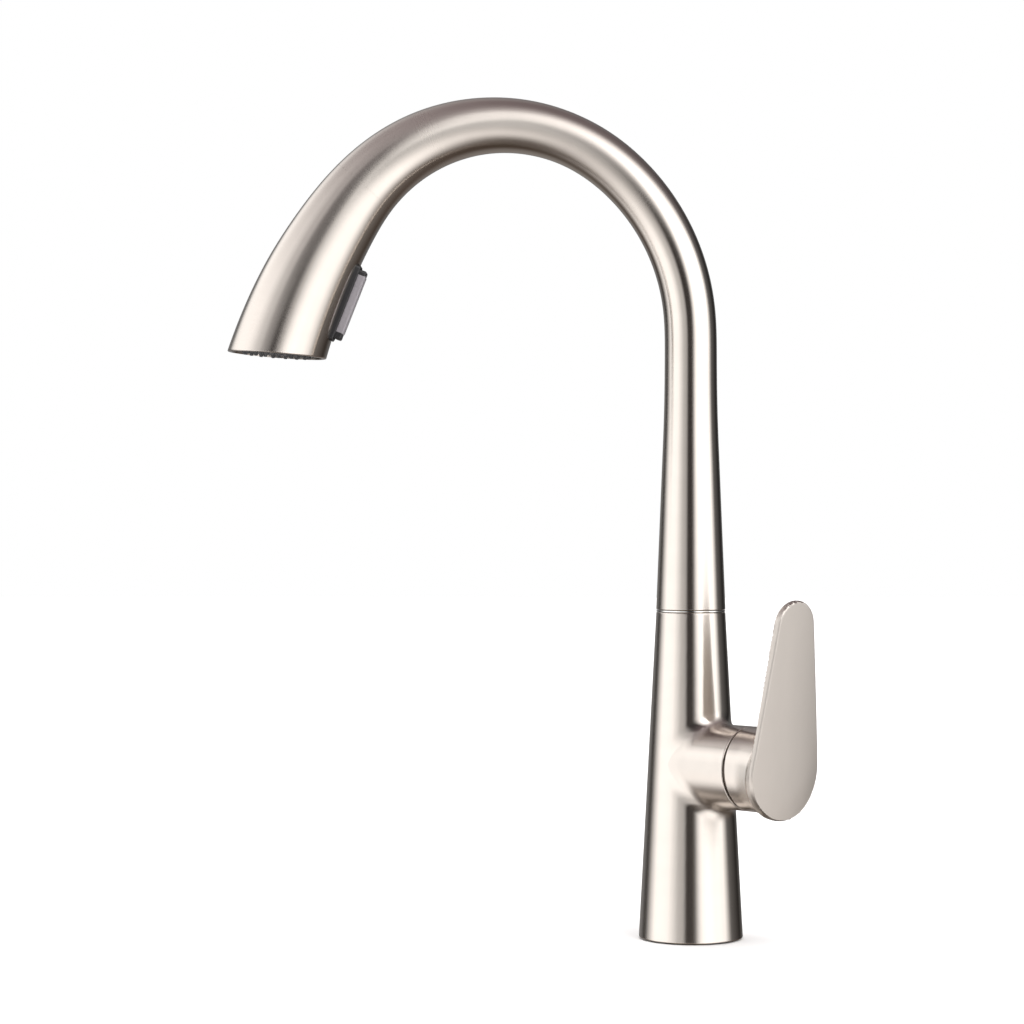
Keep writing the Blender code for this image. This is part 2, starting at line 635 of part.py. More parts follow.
def make_cartridge(valve):
    """What stays still in the cartridge: seals, base, fixed disc, housing, nut and dome ring."""
    for name, (x, y) in PORTS.items():
        bm = turned_mesh(PORT_SEAL_OUTLINE, TINY_ROUND, True)
        bmesh.ops.translate(bm, vec=(x, y, 0), verts=bm.verts)
        finish(f"{name}_port_seal", bm, valve, "rubber")
    base = rod("cartridge_base", *CARTRIDGE_BASE, valve, "white_plastic", steps=MIDDLE_ROUND)
    drill_ports(base, *CARTRIDGE_BASE[1:], valve)
    disc = rod("fixed_ceramic_disc", *FIXED_DISC, valve, "ceramic", steps=MIDDLE_ROUND)
    drill_ports(disc, *FIXED_DISC[1:], valve)
    turned("cartridge_housing", HOUSING_OUTLINE, valve, "white_plastic", steps=MIDDLE_ROUND)
    ring("cartridge_nut", *CARTRIDGE_NUT, valve, "brass")
    turned("dome_ring", dome_outline(), valve, "brushed_nickel")


def dome_outline():
    """A spherical cap with a foot below and a round opening for the stem."""
    outline = [(DOME_FOOT_INNER, DOME_FOOT), (DOME_FOOT_OUTER, DOME_FOOT)]
    start, end = math.asin(DOME_FOOT_OUTER / DOME_RADIUS), math.asin(DOME_OPENING / DOME_RADIUS)
    steps = 4
    for i in range(steps + 1):
        a = start + (end - start) * i / steps
        outline.append((DOME_RADIUS * math.sin(a), PIVOT + DOME_RADIUS * math.cos(a)))
    return outline + [(DOME_OPENING, DOME_UNDERSIDE), (DOME_FOOT_INNER, DOME_FOOT + DOME_WALL)]


def make_rotor(valve):
    """Turns in the cartridge with the lever, and holds the stem's pin."""
    rotor = turned("cartridge_rotor", ROTOR_OUTLINE, valve, "white_plastic", steps=MIDDLE_ROUND)
    half = STEM_WIDTH / 2 + GAP
    low, high = (-half, STEM_SLOT_LOW, DISC_CARRIER[1]), (half, STEM_SLOT_HIGH, BOSS_END)
    slot = block("stem_slot_shape", low, high, valve, None, cutter=True)
    end = PIN_HALF + PAST
    hole = cross_rod("pin_hole_shape", PIN_HOLE, -end, end, valve, None, at=(0, 0, PIVOT), cutter=True)
    boolean(rotor, slot)
    boolean(rotor, hole)
    cross_rod("stem_pivot_pin", PIN_RADIUS, -PIN_HALF, PIN_HALF, valve, "steel", at=(0, 0, PIVOT))


def make_disc_carrier(valve):
    """The moving disc and the carrier that the stem's finger pushes across the fixed disc."""
    rod("moving_ceramic_disc", *MOVING_DISC, valve, "ceramic", steps=MIDDLE_ROUND)
    carrier = rod("disc_carrier", *DISC_CARRIER, valve, "dark_plastic", steps=MIDDLE_ROUND)
    wide, tall, bottom = FINGER_POCKET
    low, high = (-wide, -tall, bottom), (wide, tall, DISC_CARRIER[2] + PAST)
    pocket = block("finger_pocket_shape", low, high, valve, None, cutter=True)
    boolean(carrier, pocket)


def make_stem(lift):
    """A square lever on the pin, with a finger below the pivot."""
    half = STEM_WIDTH / 2
    stem = block("cartridge_stem", (-half, -half, -STEM_HEEL), (half, half, STEM_END - PIVOT), lift, "steel")
    finger = rod("finger_shape", FINGER_RADIUS, -LIFT_ARM, 0, lift, None, steps=TINY_ROUND, cutter=True)
    hole = cross_rod("stem_hole_shape", PIN_HOLE, -PIN_HALF, PIN_HALF, lift, None, cutter=True)
    boolean(stem, finger, "UNION")
    boolean(stem, hole)


def hub_ring(depth, radius, drop=0.0, shear=0.0, steps=ROUND):
    """A ring of the hub, dropped below the axis, with its top nearer the body than its bottom by shear."""
    points = []
    for i in range(steps):
        a = math.tau * i / steps
        x, y = radius * math.sin(a), radius * math.cos(a) - drop
        points.append(Vector((x, y, depth - PIVOT + shear * (1 - y / HUB_RADIUS) / 2)))
    return points


def teardrop(low, top, rise, per_arc=12):
    """Outline round two circles on one vertical line, without the parts between them."""
    open_angle = math.asin((low - top) / rise)
    points = []
    for i in range(per_arc + 1):
        a = open_angle + (math.pi - 2 * open_angle) * i / per_arc
        points.append((top * math.cos(a), rise + top * math.sin(a)))
    for i in range(2 * per_arc + 1):
        a = math.pi - open_angle + (math.pi + 2 * open_angle) * i / (2 * per_arc)
        points.append((low * math.cos(a), low * math.sin(a)))
    return points


def paddle_ring(inset, depth):
    """The paddle's outline pulled in by inset, at a depth from its face, leaning out as it rises."""
    outline = teardrop(PADDLE_LOW_RADIUS - inset, PADDLE_TOP_RADIUS - inset, PADDLE_RISE)
    lean = math.tan(math.radians(PADDLE_LEAN))
    return [Vector((x, y, PADDLE_FACE - PIVOT - depth + y * lean)) for x, y in outline]


def make_handle(lift):
    """Hollow hub and paddle in one casting, with the set screw and plug in its underside."""
    shear = HUB_RIM_BOTTOM - HUB_RIM_TOP
    rings = [
        hub_ring(HUB_CAVITY_END, HUB_CAVITY_RADIUS - HUB_CAVITY_BEVEL),
        hub_ring(HUB_CAVITY_END - HUB_CAVITY_BEVEL, HUB_CAVITY_RADIUS),
        hub_ring(HUB_RIM_TOP, HUB_RIM_BORE, shear=shear),
        hub_ring(HUB_RIM_TOP, HUB_RADIUS - HUB_EDGE, shear=shear),
        hub_ring(HUB_RIM_TOP + HUB_EDGE, HUB_RADIUS, shear=shear),
    ]
    rings += [hub_ring(depth, radius, drop) for depth, radius, drop in HUB_FLARE]
    hub = finish("handle", lofted_mesh(rings), lift, "brushed_nickel")
    edge = PADDLE_EDGE
    layers = [
        (edge, PADDLE_THICK),
        (0, PADDLE_THICK - edge),
        (0, edge),
        (0.3 * edge, 0.3 * edge),
        (edge, 0),
    ]
    paddle = lofted_mesh([paddle_ring(inset, depth) for inset, depth in layers])
    boolean(hub, finish("paddle_shape", paddle, lift, None, cutter=True), "UNION")
    half = STEM_WIDTH / 2 + GAP
    reach = STEM_END - PIVOT + GAP
    mouth = HUB_CAVITY_END - PAST - PIVOT
    socket = block("stem_socket_shape", (-half, -half, mouth), (half, half, reach), lift, None, cutter=True)
    boolean(hub, socket)
    at, past = (0, 0, SCREW_PLACE - PIVOT), PLUG_END + PAST
    screw_hole = cross_rod("screw_hole_shape", SCREW_HOLE, 0, past, lift, None, "Y", at, cutter=True)
    start = PLUG_HOLE_START
    plug_hole = cross_rod("plug_hole_shape", PLUG_HOLE, start, past, lift, None, "Y", at, cutter=True)
    boolean(hub, screw_hole)
    boolean(hub, plug_hole)
    cross_rod("handle_set_screw", SCREW_RADIUS, half, SCREW_END, lift, "steel", "Y", at)
    cross_rod("handle_plug", PLUG_RADIUS, PLUG_START, PLUG_END, lift, "dark_plastic", "Y", at)


# ---- Swivel and spout ----


def make_swivel(column):
    """Post, lock nut, slip ring, O-rings and clip that hold the spout on the body."""
    outline = [(POST_BORE, POST_BOTTOM_Z), (POST_NECK, POST_BOTTOM_Z), (POST_NECK, SPOUT_BOTTOM_Z)]
    outline.append((POST_HEAD, SPOUT_BOTTOM_Z))
    for z in O_RING_Z:
        low, high = z - GAP, z + O_RING_THICK + GAP
        outline += [(POST_HEAD, low), (O_RING_GROOVE, low), (O_RING_GROOVE, high), (POST_HEAD, high)]
    clip = INSERT_TOP_Z + GAP
    low, high = clip, clip + CLIP_THICK + 2 * GAP
    outline += [(POST_HEAD, low), (CLIP_GROOVE, low), (CLIP_GROOVE, high), (POST_HEAD, high)]
    edge = POST_TOP_CHAMFER
    outline += [(POST_HEAD, POST_TOP_Z - edge), (POST_HEAD - edge, POST_TOP_Z), (POST_BORE, POST_TOP_Z)]
    turned("swivel_post", outline, column, "brass", steps=MIDDLE_ROUND)
    ends = LOCK_NUT_BOTTOM_Z, NECK_PLATE_Z - GAP
    ring("post_lock_nut", POST_NECK + GAP, LOCK_NUT_RADIUS, *ends, column, "brass", steps=MIDDLE_ROUND)
    low, high = SLIP_RING_Z
    ring("slip_ring", POST_NECK + GAP, BODY_TOP_RADIUS, low, high, column, "steel")
    for name, z in zip(("lower_o_ring", "upper_o_ring"), O_RING_Z):
        o_ring(name, O_RING_GROOVE + O_RING_SLACK, POST_HEAD + O_RING_SLACK, z, z + O_RING_THICK, column)
    low = clip + GAP
    ring("retaining_clip", CLIP_INNER, CLIP_OUTER, low, low + CLIP_THICK, column, "steel", steps=MIDDLE_ROUND)


def make_spout(column):
    """The tapered gooseneck tube, and the insert that turns on the post."""
    ends = ARC_LENGTH + RISE, HEAD_LENGTH + 0.5 * GAP
    places = stations(*ends, longest_turn=7.5, longest_step=33)
    outer = [section(left, outer_radius(left), MIDDLE_ROUND) for left in places]
    inner = [section(left, outer_radius(left) - SPOUT_WALL, MIDDLE_ROUND) for left in places]
    finish("spout_tube", tube_mesh(outer, inner), column, "brushed_nickel")
    bottom = SPOUT_BOTTOM_Z + 2 * GAP
    inside = [outer_radius(ARC_LENGTH + BEND_START_Z - z) - SPOUT_WALL - GAP for z in (bottom, INSERT_TOP_Z)]
    bore = POST_HEAD + GAP
    outline = [(bore, bottom), (inside[0], bottom), (inside[1], INSERT_TOP_Z), (bore, INSERT_TOP_Z)]
    turned("spout_insert", outline, column, "brass", steps=MIDDLE_ROUND)


def make_dock(dock):
    """The collar at the spout's end that the spray head's neck drops into."""
    turned("dock_collar", DOCK_OUTLINE, dock, "dark_plastic", steps=MIDDLE_ROUND)


# ---- Hose ----


def hose_point(left):
    """The hose lies on the centreline, then leaves it for the straight line into its ferrule."""
    x, z, _ = centreline(left)
    behind = left - HEAD_LENGTH
    start, end = HOSE_MERGE
    share = smooth((end - behind) / (end - start))
    return Vector((x, 0, z)).lerp(point_in(DOCK, 0, 0, -behind), share)


def make_hose(column, dock):
    """The pull-out hose inside the faucet, the ferrule and ball at its upper end, its lower coupling."""
    first = HEAD_LENGTH - FERRULE_BACK + GAP
    last = ARC_LENGTH + BEND_START_Z - HOSE_BOTTOM_Z
    bend = first + HOSE_STRAIGHT
    count = round((last - bend) / HOSE_STEP)
    route = [hose_point(first)] + [hose_point(bend + (last - bend) * i / count) for i in range(count + 1)]
    curve = bpy.data.curves.new("pull_hose", "CURVE")
    curve.dimensions = "3D"
    curve.bevel_depth = HOSE_RADIUS * MM
    curve.bevel_resolution = 2
    curve.use_fill_caps = True
    spline = curve.splines.new("POLY")
    spline.points.add(len(route) - 1)
    for point, place in zip(spline.points, route):
        point.co = (*(place * MM), 1.0)
    curve.materials.append(make_material("braid"))
    hose = bpy.data.objects.new("pull_hose", curve)
    bpy.context.scene.collection.objects.link(hose)
    hose.parent = column
    ends = FERRULE_BACK, FERRULE_FRONT
    ring("hose_ferrule", FERRULE_BORE, FERRULE_RADIUS, *ends, dock, "steel", SMALL_ROUND, FERRULE_EDGE)
    turned("hose_ball_joint", ball_outline(), dock, "brass", steps=SMALL_ROUND)
    low = HOSE_BOTTOM_Z - GAP
    coupling = [(radius, low + z) for radius, z in COUPLING_OUTLINE]
    turned("hose_coupling", coupling, column, "dark_plastic", steps=SMALL_ROUND)


def ball_outline():
    """A ball with a short neck behind it and a bore through both."""
    outline = [(BALL_BORE, FERRULE_FRONT + GAP), (BALL_NECK, FERRULE_FRONT + GAP)]
    first, last, steps = *BALL_ANGLES, 6
    for i in range(steps + 1):
        a = math.radians(first + (last - first) * i / steps)
        outline.append((BALL_RADIUS * math.sin(a), BALL_RADIUS * math.cos(a)))
    return outline + [(BALL_BORE, BALL_RADIUS * math.cos(math.radians(last)))]


# ---- Spray head ----


def make_head_shell(dock):
    """The curved horn from the docking seam to the outlet, with a slot for the rocker on its inner side."""
    places = stations(HEAD_LENGTH - 0.5 * GAP, 0, longest_turn=4.0, longest_step=9)
    outer = [section(left, outer_radius(left), ROUND) for left in places]
    inner = [section(left, outer_radius(left) - HEAD_WALL, ROUND) for left in places]
    return finish("head_shell", local(tube_mesh(outer, inner), DOCK), dock, "brushed_nickel")


def make_neck(dock):
    """The neck that docks in the spout, its ball retainer, and the check valve inside."""
    turned("head_neck", NECK_OUTLINE, dock, "dark_plastic", steps=MIDDLE_ROUND)
    ring("ball_retainer", *BALL_RETAINER, dock, "white_plastic", SMALL_ROUND)
    turned("check_valve_cage", CAGE_OUTLINE, dock, "white_plastic", steps=SMALL_ROUND)
    turned("check_valve_poppet", POPPET_OUTLINE, dock, "dark_plastic", steps=TINY_ROUND)
    make_check_spring(dock)


def make_check_spring(dock):
    """A small coil spring round the poppet's stem, as one swept wire."""
    per_turn, sides = 9, 5
    steps = per_turn * SPRING_TURNS
    path = []
    for i in range(steps + 1):
        a = math.tau * i / per_turn
        z = SPRING_LOW + (SPRING_HIGH - SPRING_LOW) * i / steps
        path.append(Vector((SPRING_COIL * math.cos(a), SPRING_COIL * math.sin(a), z)))
    rings = []
    for i, p in enumerate(path):
        ahead = (path[min(i + 1, steps)] - path[max(i - 1, 0)]).normalized()
        across = Vector((p.x, p.y, 0)).normalized()
        other = ahead.cross(across)
        angles = [math.tau * k / sides for k in range(sides)]
        rings.append([p + SPRING_WIRE * (math.cos(a) * across + math.sin(a) * other) for a in angles])
    finish("check_valve_spring", lofted_mesh(rings), dock, "steel")


def make_head_waterway(dock):
    """A short bent tube from the neck to the diverter."""
    start, end = point_in(DOCK, 0, 0, WATERWAY_START), point_in(ENGINE, 0, 0, -ENGINE_HALF - 4 * GAP)
    lead = (start - point_in(DOCK, 0, 0, 0)).normalized()
    tail = (point_in(ENGINE, 0, 0, 0) - end).normalized()
    reach = (end - start).length
    path, steps = [], 5
    for i in range(steps + 1):
        t = i / steps
        a, b, c, d = (1 - t) ** 3, 3 * t * (1 - t) ** 2, 3 * t * t * (1 - t), t**3
        path.append(a * start + b * (start + lead * reach / 3) + c * (end - tail * reach / 3) + d * end)
    path_tube("head_waterway", path, WATERWAY_RADIUS, WATERWAY_BORE, dock, "white_plastic", frame=DOCK)


def make_diverter(engine, seat):
    """The diverter's body with its window for the rocker's tongue, and the spool."""
    size = ENGINE_BORE, ENGINE_RADIUS, -ENGINE_HALF, ENGINE_HALF
    body = ring("diverter_body", *size, engine, "white_plastic", MIDDLE_ROUND, ENGINE_EDGE)
    window = block("window_shape", *WINDOW, seat, None, cutter=True)
    boolean(body, window)
    waist, groove = SPOOL_WAIST, SPOOL_GROOVE_HALF
    outline = [
        (0, -SPOOL_HALF),
        (SPOOL_RADIUS, -SPOOL_HALF),
        (SPOOL_RADIUS, -groove),
        (waist, -groove),
        (waist, groove),
        (SPOOL_RADIUS, groove),
        (SPOOL_RADIUS, SPOOL_HALF - SPOOL_STOP),
        (0, SPOOL_HALF - SPOOL_STOP),
    ]
    turned("diverter_spool", outline, engine, "dark_plastic", steps=SMALL_ROUND)


def make_rocker(shell, seat, pivot):
    """The spray button with its tongue, on a pin in a frame that is let into the head."""
    slot = block("rocker_slot_shape", *ROCKER_SLOT, seat, None, cutter=True)
    boolean(shell, slot)
    frame = block("toggle_frame", *TOGGLE_FRAME, seat, "dark_plastic")
    pocket = block("pocket_shape", *FRAME_POCKET, seat, None, cutter=True)
    tongue_hole = block("tongue_hole_shape", *TONGUE_HOLE, seat, None, cutter=True)
    reach = ROCKER_PIN_HALF + PAST
    hole = cross_rod("frame_hole_shape", ROCKER_PIN_HOLE, -reach, reach, pivot, None, "Y", cutter=True)
    for tool in (pocket, tongue_hole, hole):
        boolean(frame, tool)
    half, wide, pin = ROCKER_HALF_LENGTH, ROCKER_HALF_WIDTH, ROCKER_PIN_DEPTH
    top = -ROCKER_PROUD - pin
    low, high = (top, -wide, -half), (ROCKER_UNDERSIDE - pin, wide, half)
    rocker = block("toggle_rocker", low, high, pivot, "grey_plastic")
    bevel = rocker.modifiers.new("edges", "BEVEL")
    bevel.width = ROCKER_BEVEL * MM
    bevel.segments = 1
    wide -= LUG_INSET
    low, high = (LUG_TOP, -wide, -LUG_HALF), (LUG_BOTTOM, wide, LUG_HALF)
    lug = block("lug_shape", low, high, pivot, None, cutter=True)
    low = (0, -TONGUE_HALF_WIDTH, -TONGUE_HALF_THICK)
    high = (TONGUE_TIP - pin, TONGUE_HALF_WIDTH, TONGUE_HALF_THICK)
    tongue = block("tongue_shape", low, high, pivot, None, cutter=True)
    boolean(rocker, lug, "UNION")
    boolean(rocker, tongue, "UNION")
    boolean(rocker, hole)
    cross_rod("toggle_pin", ROCKER_PIN_RADIUS, -ROCKER_PIN_HALF, ROCKER_PIN_HALF, pivot, "steel", "Y")


def nozzle_places():
    for radius, count in NOZZLE_RINGS:
        for i in range(count):
            a = math.tau * (i + 0.5) / count
            yield radius * math.cos(a), radius * math.sin(a)


def nozzle_rods(radius, low, high, sides):
    """Rods at every nozzle, in one mesh of separate solids."""
    bm = bmesh.new()
    for x, y in nozzle_places():
        at = Matrix.Translation((x, y, (low + high) / 2))
        bmesh.ops.create_cone(
            bm, cap_ends=True, segments=sides, radius1=radius, radius2=radius, depth=high - low, matrix=at
        )
    return bm


def make_spray_face(outlet):
    """Face plate, rubber nozzle mat, manifold and the aerator in the middle."""
    face = turned("spray_face", FACE_OUTLINE, outlet, "grey_plastic")
    radius, back, front = NOZZLE_MAT
    holes = nozzle_rods(NOZZLE_HOLE, back, PAST, NOZZLE_SIDES)
    boolean(face, finish("nozzle_hole_shape", holes, outlet, None, cutter=True))
    mat = ring("nozzle_mat", FACE_BORE, radius, back, front, outlet, "rubber")
    nozzles = nozzle_rods(NOZZLE_RADIUS, (back + front) / 2, NOZZLE_PROUD, NOZZLE_SIDES)
    boolean(mat, finish("nozzle_shape", nozzles, outlet, None, cutter=True), "UNION")
    turned("spray_manifold", MANIFOLD_OUTLINE, outlet, "white_plastic", steps=MIDDLE_ROUND)
    turned("aerator", AERATOR_OUTLINE, outlet, "grey_plastic", steps=MIDDLE_ROUND)
    rod("aerator_insert", *AERATOR_INSERT, outlet, "white_plastic", SMALL_ROUND)


def build():
    clear_scene()
    column = add_empty("column_axis", COLUMN)
    valve = add_empty("valve_axis", VALVE)
    lift = add_empty("lift_pivot", LIFT)
    dock = add_empty("docking_axis", DOCK)
    outlet = add_empty("outlet_plane", OUTLET)
    engine = add_empty("diverter_axis", ENGINE)
    seat = add_empty("rocker_seat", ROCKER_SEAT)
    pivot = add_empty("rocker_pivot", ROCKER_PIVOT)
    bpy.context.view_layer.update()
    make_body(column, valve)
    make_deck_fixing(column)
    make_water_tubes(column)
    make_valve_block(column, valve)
    make_cartridge(valve)
    make_rotor(valve)
    make_disc_carrier(valve)
    make_stem(lift)
    make_handle(lift)
    make_swivel(column)
    make_spout(column)
    make_dock(dock)
    make_hose(column, dock)
    shell = make_head_shell(dock)
    make_neck(dock)
    make_head_waterway(dock)
    make_diverter(engine, seat)
    make_rocker(shell, seat, pivot)
    make_spray_face(outlet)


build()
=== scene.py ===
"""Looks of the pull down kitchen faucet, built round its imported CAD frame.

The large castings are smooth surfaces in brushed nickel, and the small turned pieces are spun again from
their CAD outlines in finer steps. Shapes are worked out in millimetres and placed in metres.
"""

import json
import math

import bmesh
import bpy
import numpy as np
from mathutils import Matrix, Vector

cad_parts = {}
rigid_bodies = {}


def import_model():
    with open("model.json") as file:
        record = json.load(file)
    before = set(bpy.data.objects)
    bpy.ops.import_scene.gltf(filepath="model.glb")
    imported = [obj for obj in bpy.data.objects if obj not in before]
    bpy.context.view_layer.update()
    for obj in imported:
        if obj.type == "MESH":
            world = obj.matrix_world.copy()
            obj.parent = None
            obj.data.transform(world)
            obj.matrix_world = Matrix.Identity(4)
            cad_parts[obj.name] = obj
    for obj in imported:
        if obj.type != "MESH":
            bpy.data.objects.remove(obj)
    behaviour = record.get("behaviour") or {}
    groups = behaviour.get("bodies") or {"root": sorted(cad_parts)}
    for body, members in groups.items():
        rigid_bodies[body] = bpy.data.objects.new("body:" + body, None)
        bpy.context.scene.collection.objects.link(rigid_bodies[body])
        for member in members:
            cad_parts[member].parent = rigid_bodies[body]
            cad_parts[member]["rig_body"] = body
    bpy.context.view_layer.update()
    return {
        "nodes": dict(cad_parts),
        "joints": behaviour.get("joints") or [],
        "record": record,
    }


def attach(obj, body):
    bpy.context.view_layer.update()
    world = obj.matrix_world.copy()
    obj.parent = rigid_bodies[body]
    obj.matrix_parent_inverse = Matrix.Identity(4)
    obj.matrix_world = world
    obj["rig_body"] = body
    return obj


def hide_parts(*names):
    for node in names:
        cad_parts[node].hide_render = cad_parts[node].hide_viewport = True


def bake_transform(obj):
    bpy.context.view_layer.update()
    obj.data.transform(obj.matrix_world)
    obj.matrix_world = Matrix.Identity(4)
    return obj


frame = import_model()

MM = 0.001
SHARP = math.radians(32)  # edges that turn further than this stay sharp
PAST = 5.0  # how far a cutting tool reaches past the casting that it cuts
JOINTS = {joint["name"]: joint for joint in frame["joints"]}
SLOTS = {part["node"]: part["material_slot"] for part in frame["record"]["subparts"]}

# ---- Driving dimensions in millimetres and degrees, the CAD design's unless a comment says otherwise ----

BASE_RADIUS, BODY_TOP_RADIUS, BODY_TOP_Z, BODY_BOTTOM_Z = 26.0, 17.25, 162.7, 0.5
BODY_WALL, FLOOR_TOP_Z, NECK_PLATE_Z, NECK_HOLE = 2.5, 9.3, 155.0, 11.3
SHANK_HOLE, GROOVE_INNER, GROOVE_OUTER, GROOVE_TOP_Z = 16.8, 18.7, 24.8, 1.9
BOSS_RADIUS, BOSS_END, BOSS_BORE = 20.8, 40.0, 18.7
SPOUT_BOTTOM_Z, BEND_START_Z = 164.1, 302.5
SPOUT_ARCS = ((108.4, 50.8), (87.7, 78.3), (102.3, 16.2), (275.0, 17.3))  # radius, degrees
ARC_LENGTH = sum(radius * math.radians(degrees) for radius, degrees in SPOUT_ARCS)
SPOUT_LENGTH = ARC_LENGTH + BEND_START_Z - SPOUT_BOTTOM_Z
SPOUT_RADII = (  # distance before the outlet, outer radius
    (0.0, 24.1), (38.0, 22.2), (67.0, 20.0), (99.0, 17.4), (131.0, 15.6), (163.0, 14.1), (187.0, 13.4),
    (211.0, 13.0), (335.0, 13.0), (367.0, 13.35), (399.0, 14.55), (SPOUT_LENGTH, 17.3),
)
SPOUT_WALL, HEAD_WALL, HEAD_LENGTH, HAIRLINE = 1.5, 2.2, 95.0, 0.04
FACE_ANGLE, FACE_BLEND = 175.6, 45.0
HUB_RADIUS, HUB_RIM_BORE, HUB_CAVITY_END = 20.8, 19.6, 50.1
HUB_RIM_TOP, HUB_RIM_BOTTOM = 40.8, 42.4  # leans more than the CAD's rim, to clear the boss at full lift
PADDLE_FACE, PADDLE_THICK, PADDLE_LEAN = 64.4, 4.0, 5.0
PADDLE_LOW_RADIUS, PADDLE_TOP_RADIUS, PADDLE_RISE = 24.0, 13.0, 70.0
ENGINE_OFFSET, ROCKER_PIN_DEPTH, ROCKER_PROUD = 23.7, 0.6, 5.0
ROCKER_HALF_LENGTH, ROCKER_HALF_WIDTH = 18.3, 5.6
NOZZLE_RINGS = ((11.2, 10), (16.2, 16))  # ring radius, nozzles in it

# ---- Frames on the CAD's axes ----


def frame_on(origin, z_axis, y_axis):
    """A frame in metres with its Z and Y along the given directions."""
    z = Vector(z_axis).normalized()
    y = (Vector(y_axis) - z * z.dot(Vector(y_axis))).normalized()
    turn = Matrix((y.cross(z), y, z)).transposed().to_4x4()
    return Matrix.Translation(origin) @ turn


def shifted(base, x, y, z):
    """A frame moved along its own axes, in millimetres."""
    return base @ Matrix.Translation((x * MM, y * MM, z * MM))


COLUMN = Matrix.Identity(4)
VALVE = frame_on(JOINTS["handle_temperature"]["pos_m"], JOINTS["handle_temperature"]["axis"], (0, 0, 1))
DOCK = frame_on(JOINTS["head_swivel"]["pos_m"], JOINTS["head_swivel"]["axis"], (0, 1, 0))
SPOOL_AXIS = -Vector(JOINTS["diverter_slide"]["axis"])
ROCKER = frame_on(JOINTS["spray_toggle"]["pos_m"], SPOOL_AXIS, (0, 1, 0))
SEAT = shifted(ROCKER, -ROCKER_PIN_DEPTH, 0, 0)
ENGINE = shifted(SEAT, ENGINE_OFFSET, 0, 0)

# ---- Meshes ----


def rectangle(left, right, low, high):
    """Four corners: the outline of a ring's or a disc's section, or of a square."""
    return [(left, low), (right, low), (right, high), (left, high)]


def linked(name, data):
    """A new object in the scene."""
    obj = bpy.data.objects.new(name, data)
    bpy.context.scene.collection.objects.link(obj)
    return obj


def add_mesh(name, points, faces, place=COLUMN, uv=None):
    """An object from points in millimetres in a frame, with an optional UV in millimetres for each loop."""
    mesh = bpy.data.meshes.new(name)
    mesh.from_pydata(np.asarray(points, float) * MM, [], faces)
    mesh.transform(place)
    if uv is not None:
        layer = mesh.uv_layers.new(name="brush")
        layer.data.foreach_set("uv", np.asarray(uv, np.float32).ravel())
    mesh.shade_smooth()
    mesh.set_sharp_from_angle(angle=SHARP)
    return linked(name, mesh)


def grid_mesh(name, rings, place=COLUMN, closed=False, capped=False, start=0.0):
    """Joins rings of equally many points. closed joins the last ring to the first, capped fills both ends.

    Its UV runs along the rings' order in U, from start, and round each ring in V, both in millimetres.
    """
    rings = np.asarray(rings, float)
    count, steps = rings.shape[:2]
    along = start + np.concatenate([[0], np.cumsum(np.linalg.norm(np.diff(rings, axis=0), axis=2).mean(1))])
    sizes = np.linalg.norm(np.roll(rings, -1, 1) - rings, axis=2).sum(1)
    faces, uv = [], []
    for i in range(count if closed else count - 1):
        k = (i + 1) % count
        width = (sizes[i] + sizes[k]) / 2 / steps
        ends = along[i], along[k] if k else along[i] + 1
        for j in range(steps):
            n = (j + 1) % steps
            low, high = j * width, (j + 1) * width
            faces.append((i * steps + j, i * steps + n, k * steps + n, k * steps + j))
            uv += [(ends[0], low), (ends[0], high), (ends[1], high), (ends[1], low)]
    if capped:
        for i, order in ((0, -1), (count - 1, 1)):
            faces.append(tuple(i * steps + j for j in range(steps))[::order])
            uv += [(0, 0)] * steps
    return outward(add_mesh(name, rings.reshape(-1, 3), faces, place, uv))


def outward(obj):
    """Points a closed mesh's faces out."""
    bm = bmesh.new()
    bm.from_mesh(obj.data)
    bmesh.ops.recalc_face_normals(bm, faces=bm.faces)
    bm.to_mesh(obj.data)
    bm.free()
    return obj


LEAST_BEND, LEAST_EDGE = math.radians(18), 0.02  # corners below these aren't rounded


def mesh_points(mesh):
    points = np.empty(len(mesh.vertices) * 3)
    mesh.vertices.foreach_get("co", points)
    return points.reshape(-1, 3)


def rounded_outline(outline, edge, closed, segments=3):
    """Rounds an outline's corners, by at most edge and less than half of the shorter side."""
    out, count = [], len(outline)
    for i, point in enumerate(outline):
        p = np.array(point, float)
        if not closed and i in (0, count - 1):
            out.append(p)
            continue
        before, after = (np.array(outline[k % count], float) - p for k in (i - 1, i + 1))
        long_before, long_after = np.linalg.norm(before), np.linalg.norm(after)
        bend = math.acos(max(-1.0, min(1.0, -before @ after / (long_before * long_after))))
        reach = min(edge, 0.45 * long_before, 0.45 * long_after)
        if bend < LEAST_BEND or reach < LEAST_EDGE:
            out.append(p)
            continue
        start, end = p + before / long_before * reach, p + after / long_after * reach
        for k in range(segments + 1):
            t = k / segments
            out.append((1 - t) ** 2 * start + 2 * t * (1 - t) * p + t * t * end)
    return out


def revolve(name, outline, place, steps=96, edge=0.25):
    """Turns an outline of (radius, height) round Z. It closes at the axis if it starts there."""
    closed = outline[0][0] > 1e-6
    fine = np.array(rounded_outline(outline, edge, closed))
    turns = np.arange(steps) * math.tau / steps
    radius, height = (np.repeat(fine[:, k : k + 1], steps, 1) for k in (0, 1))
    rings = np.stack([radius * np.cos(turns), radius * np.sin(turns), height], axis=2)
    return grid_mesh(name, rings if closed else rings[1:-1], place, closed=closed, capped=not closed)


SECTION_TILT = 0.002  # turns the section's plane off the mesh's own points
STRAIGHT = 0.012  # sine of the bend below which a point of a section is dropped


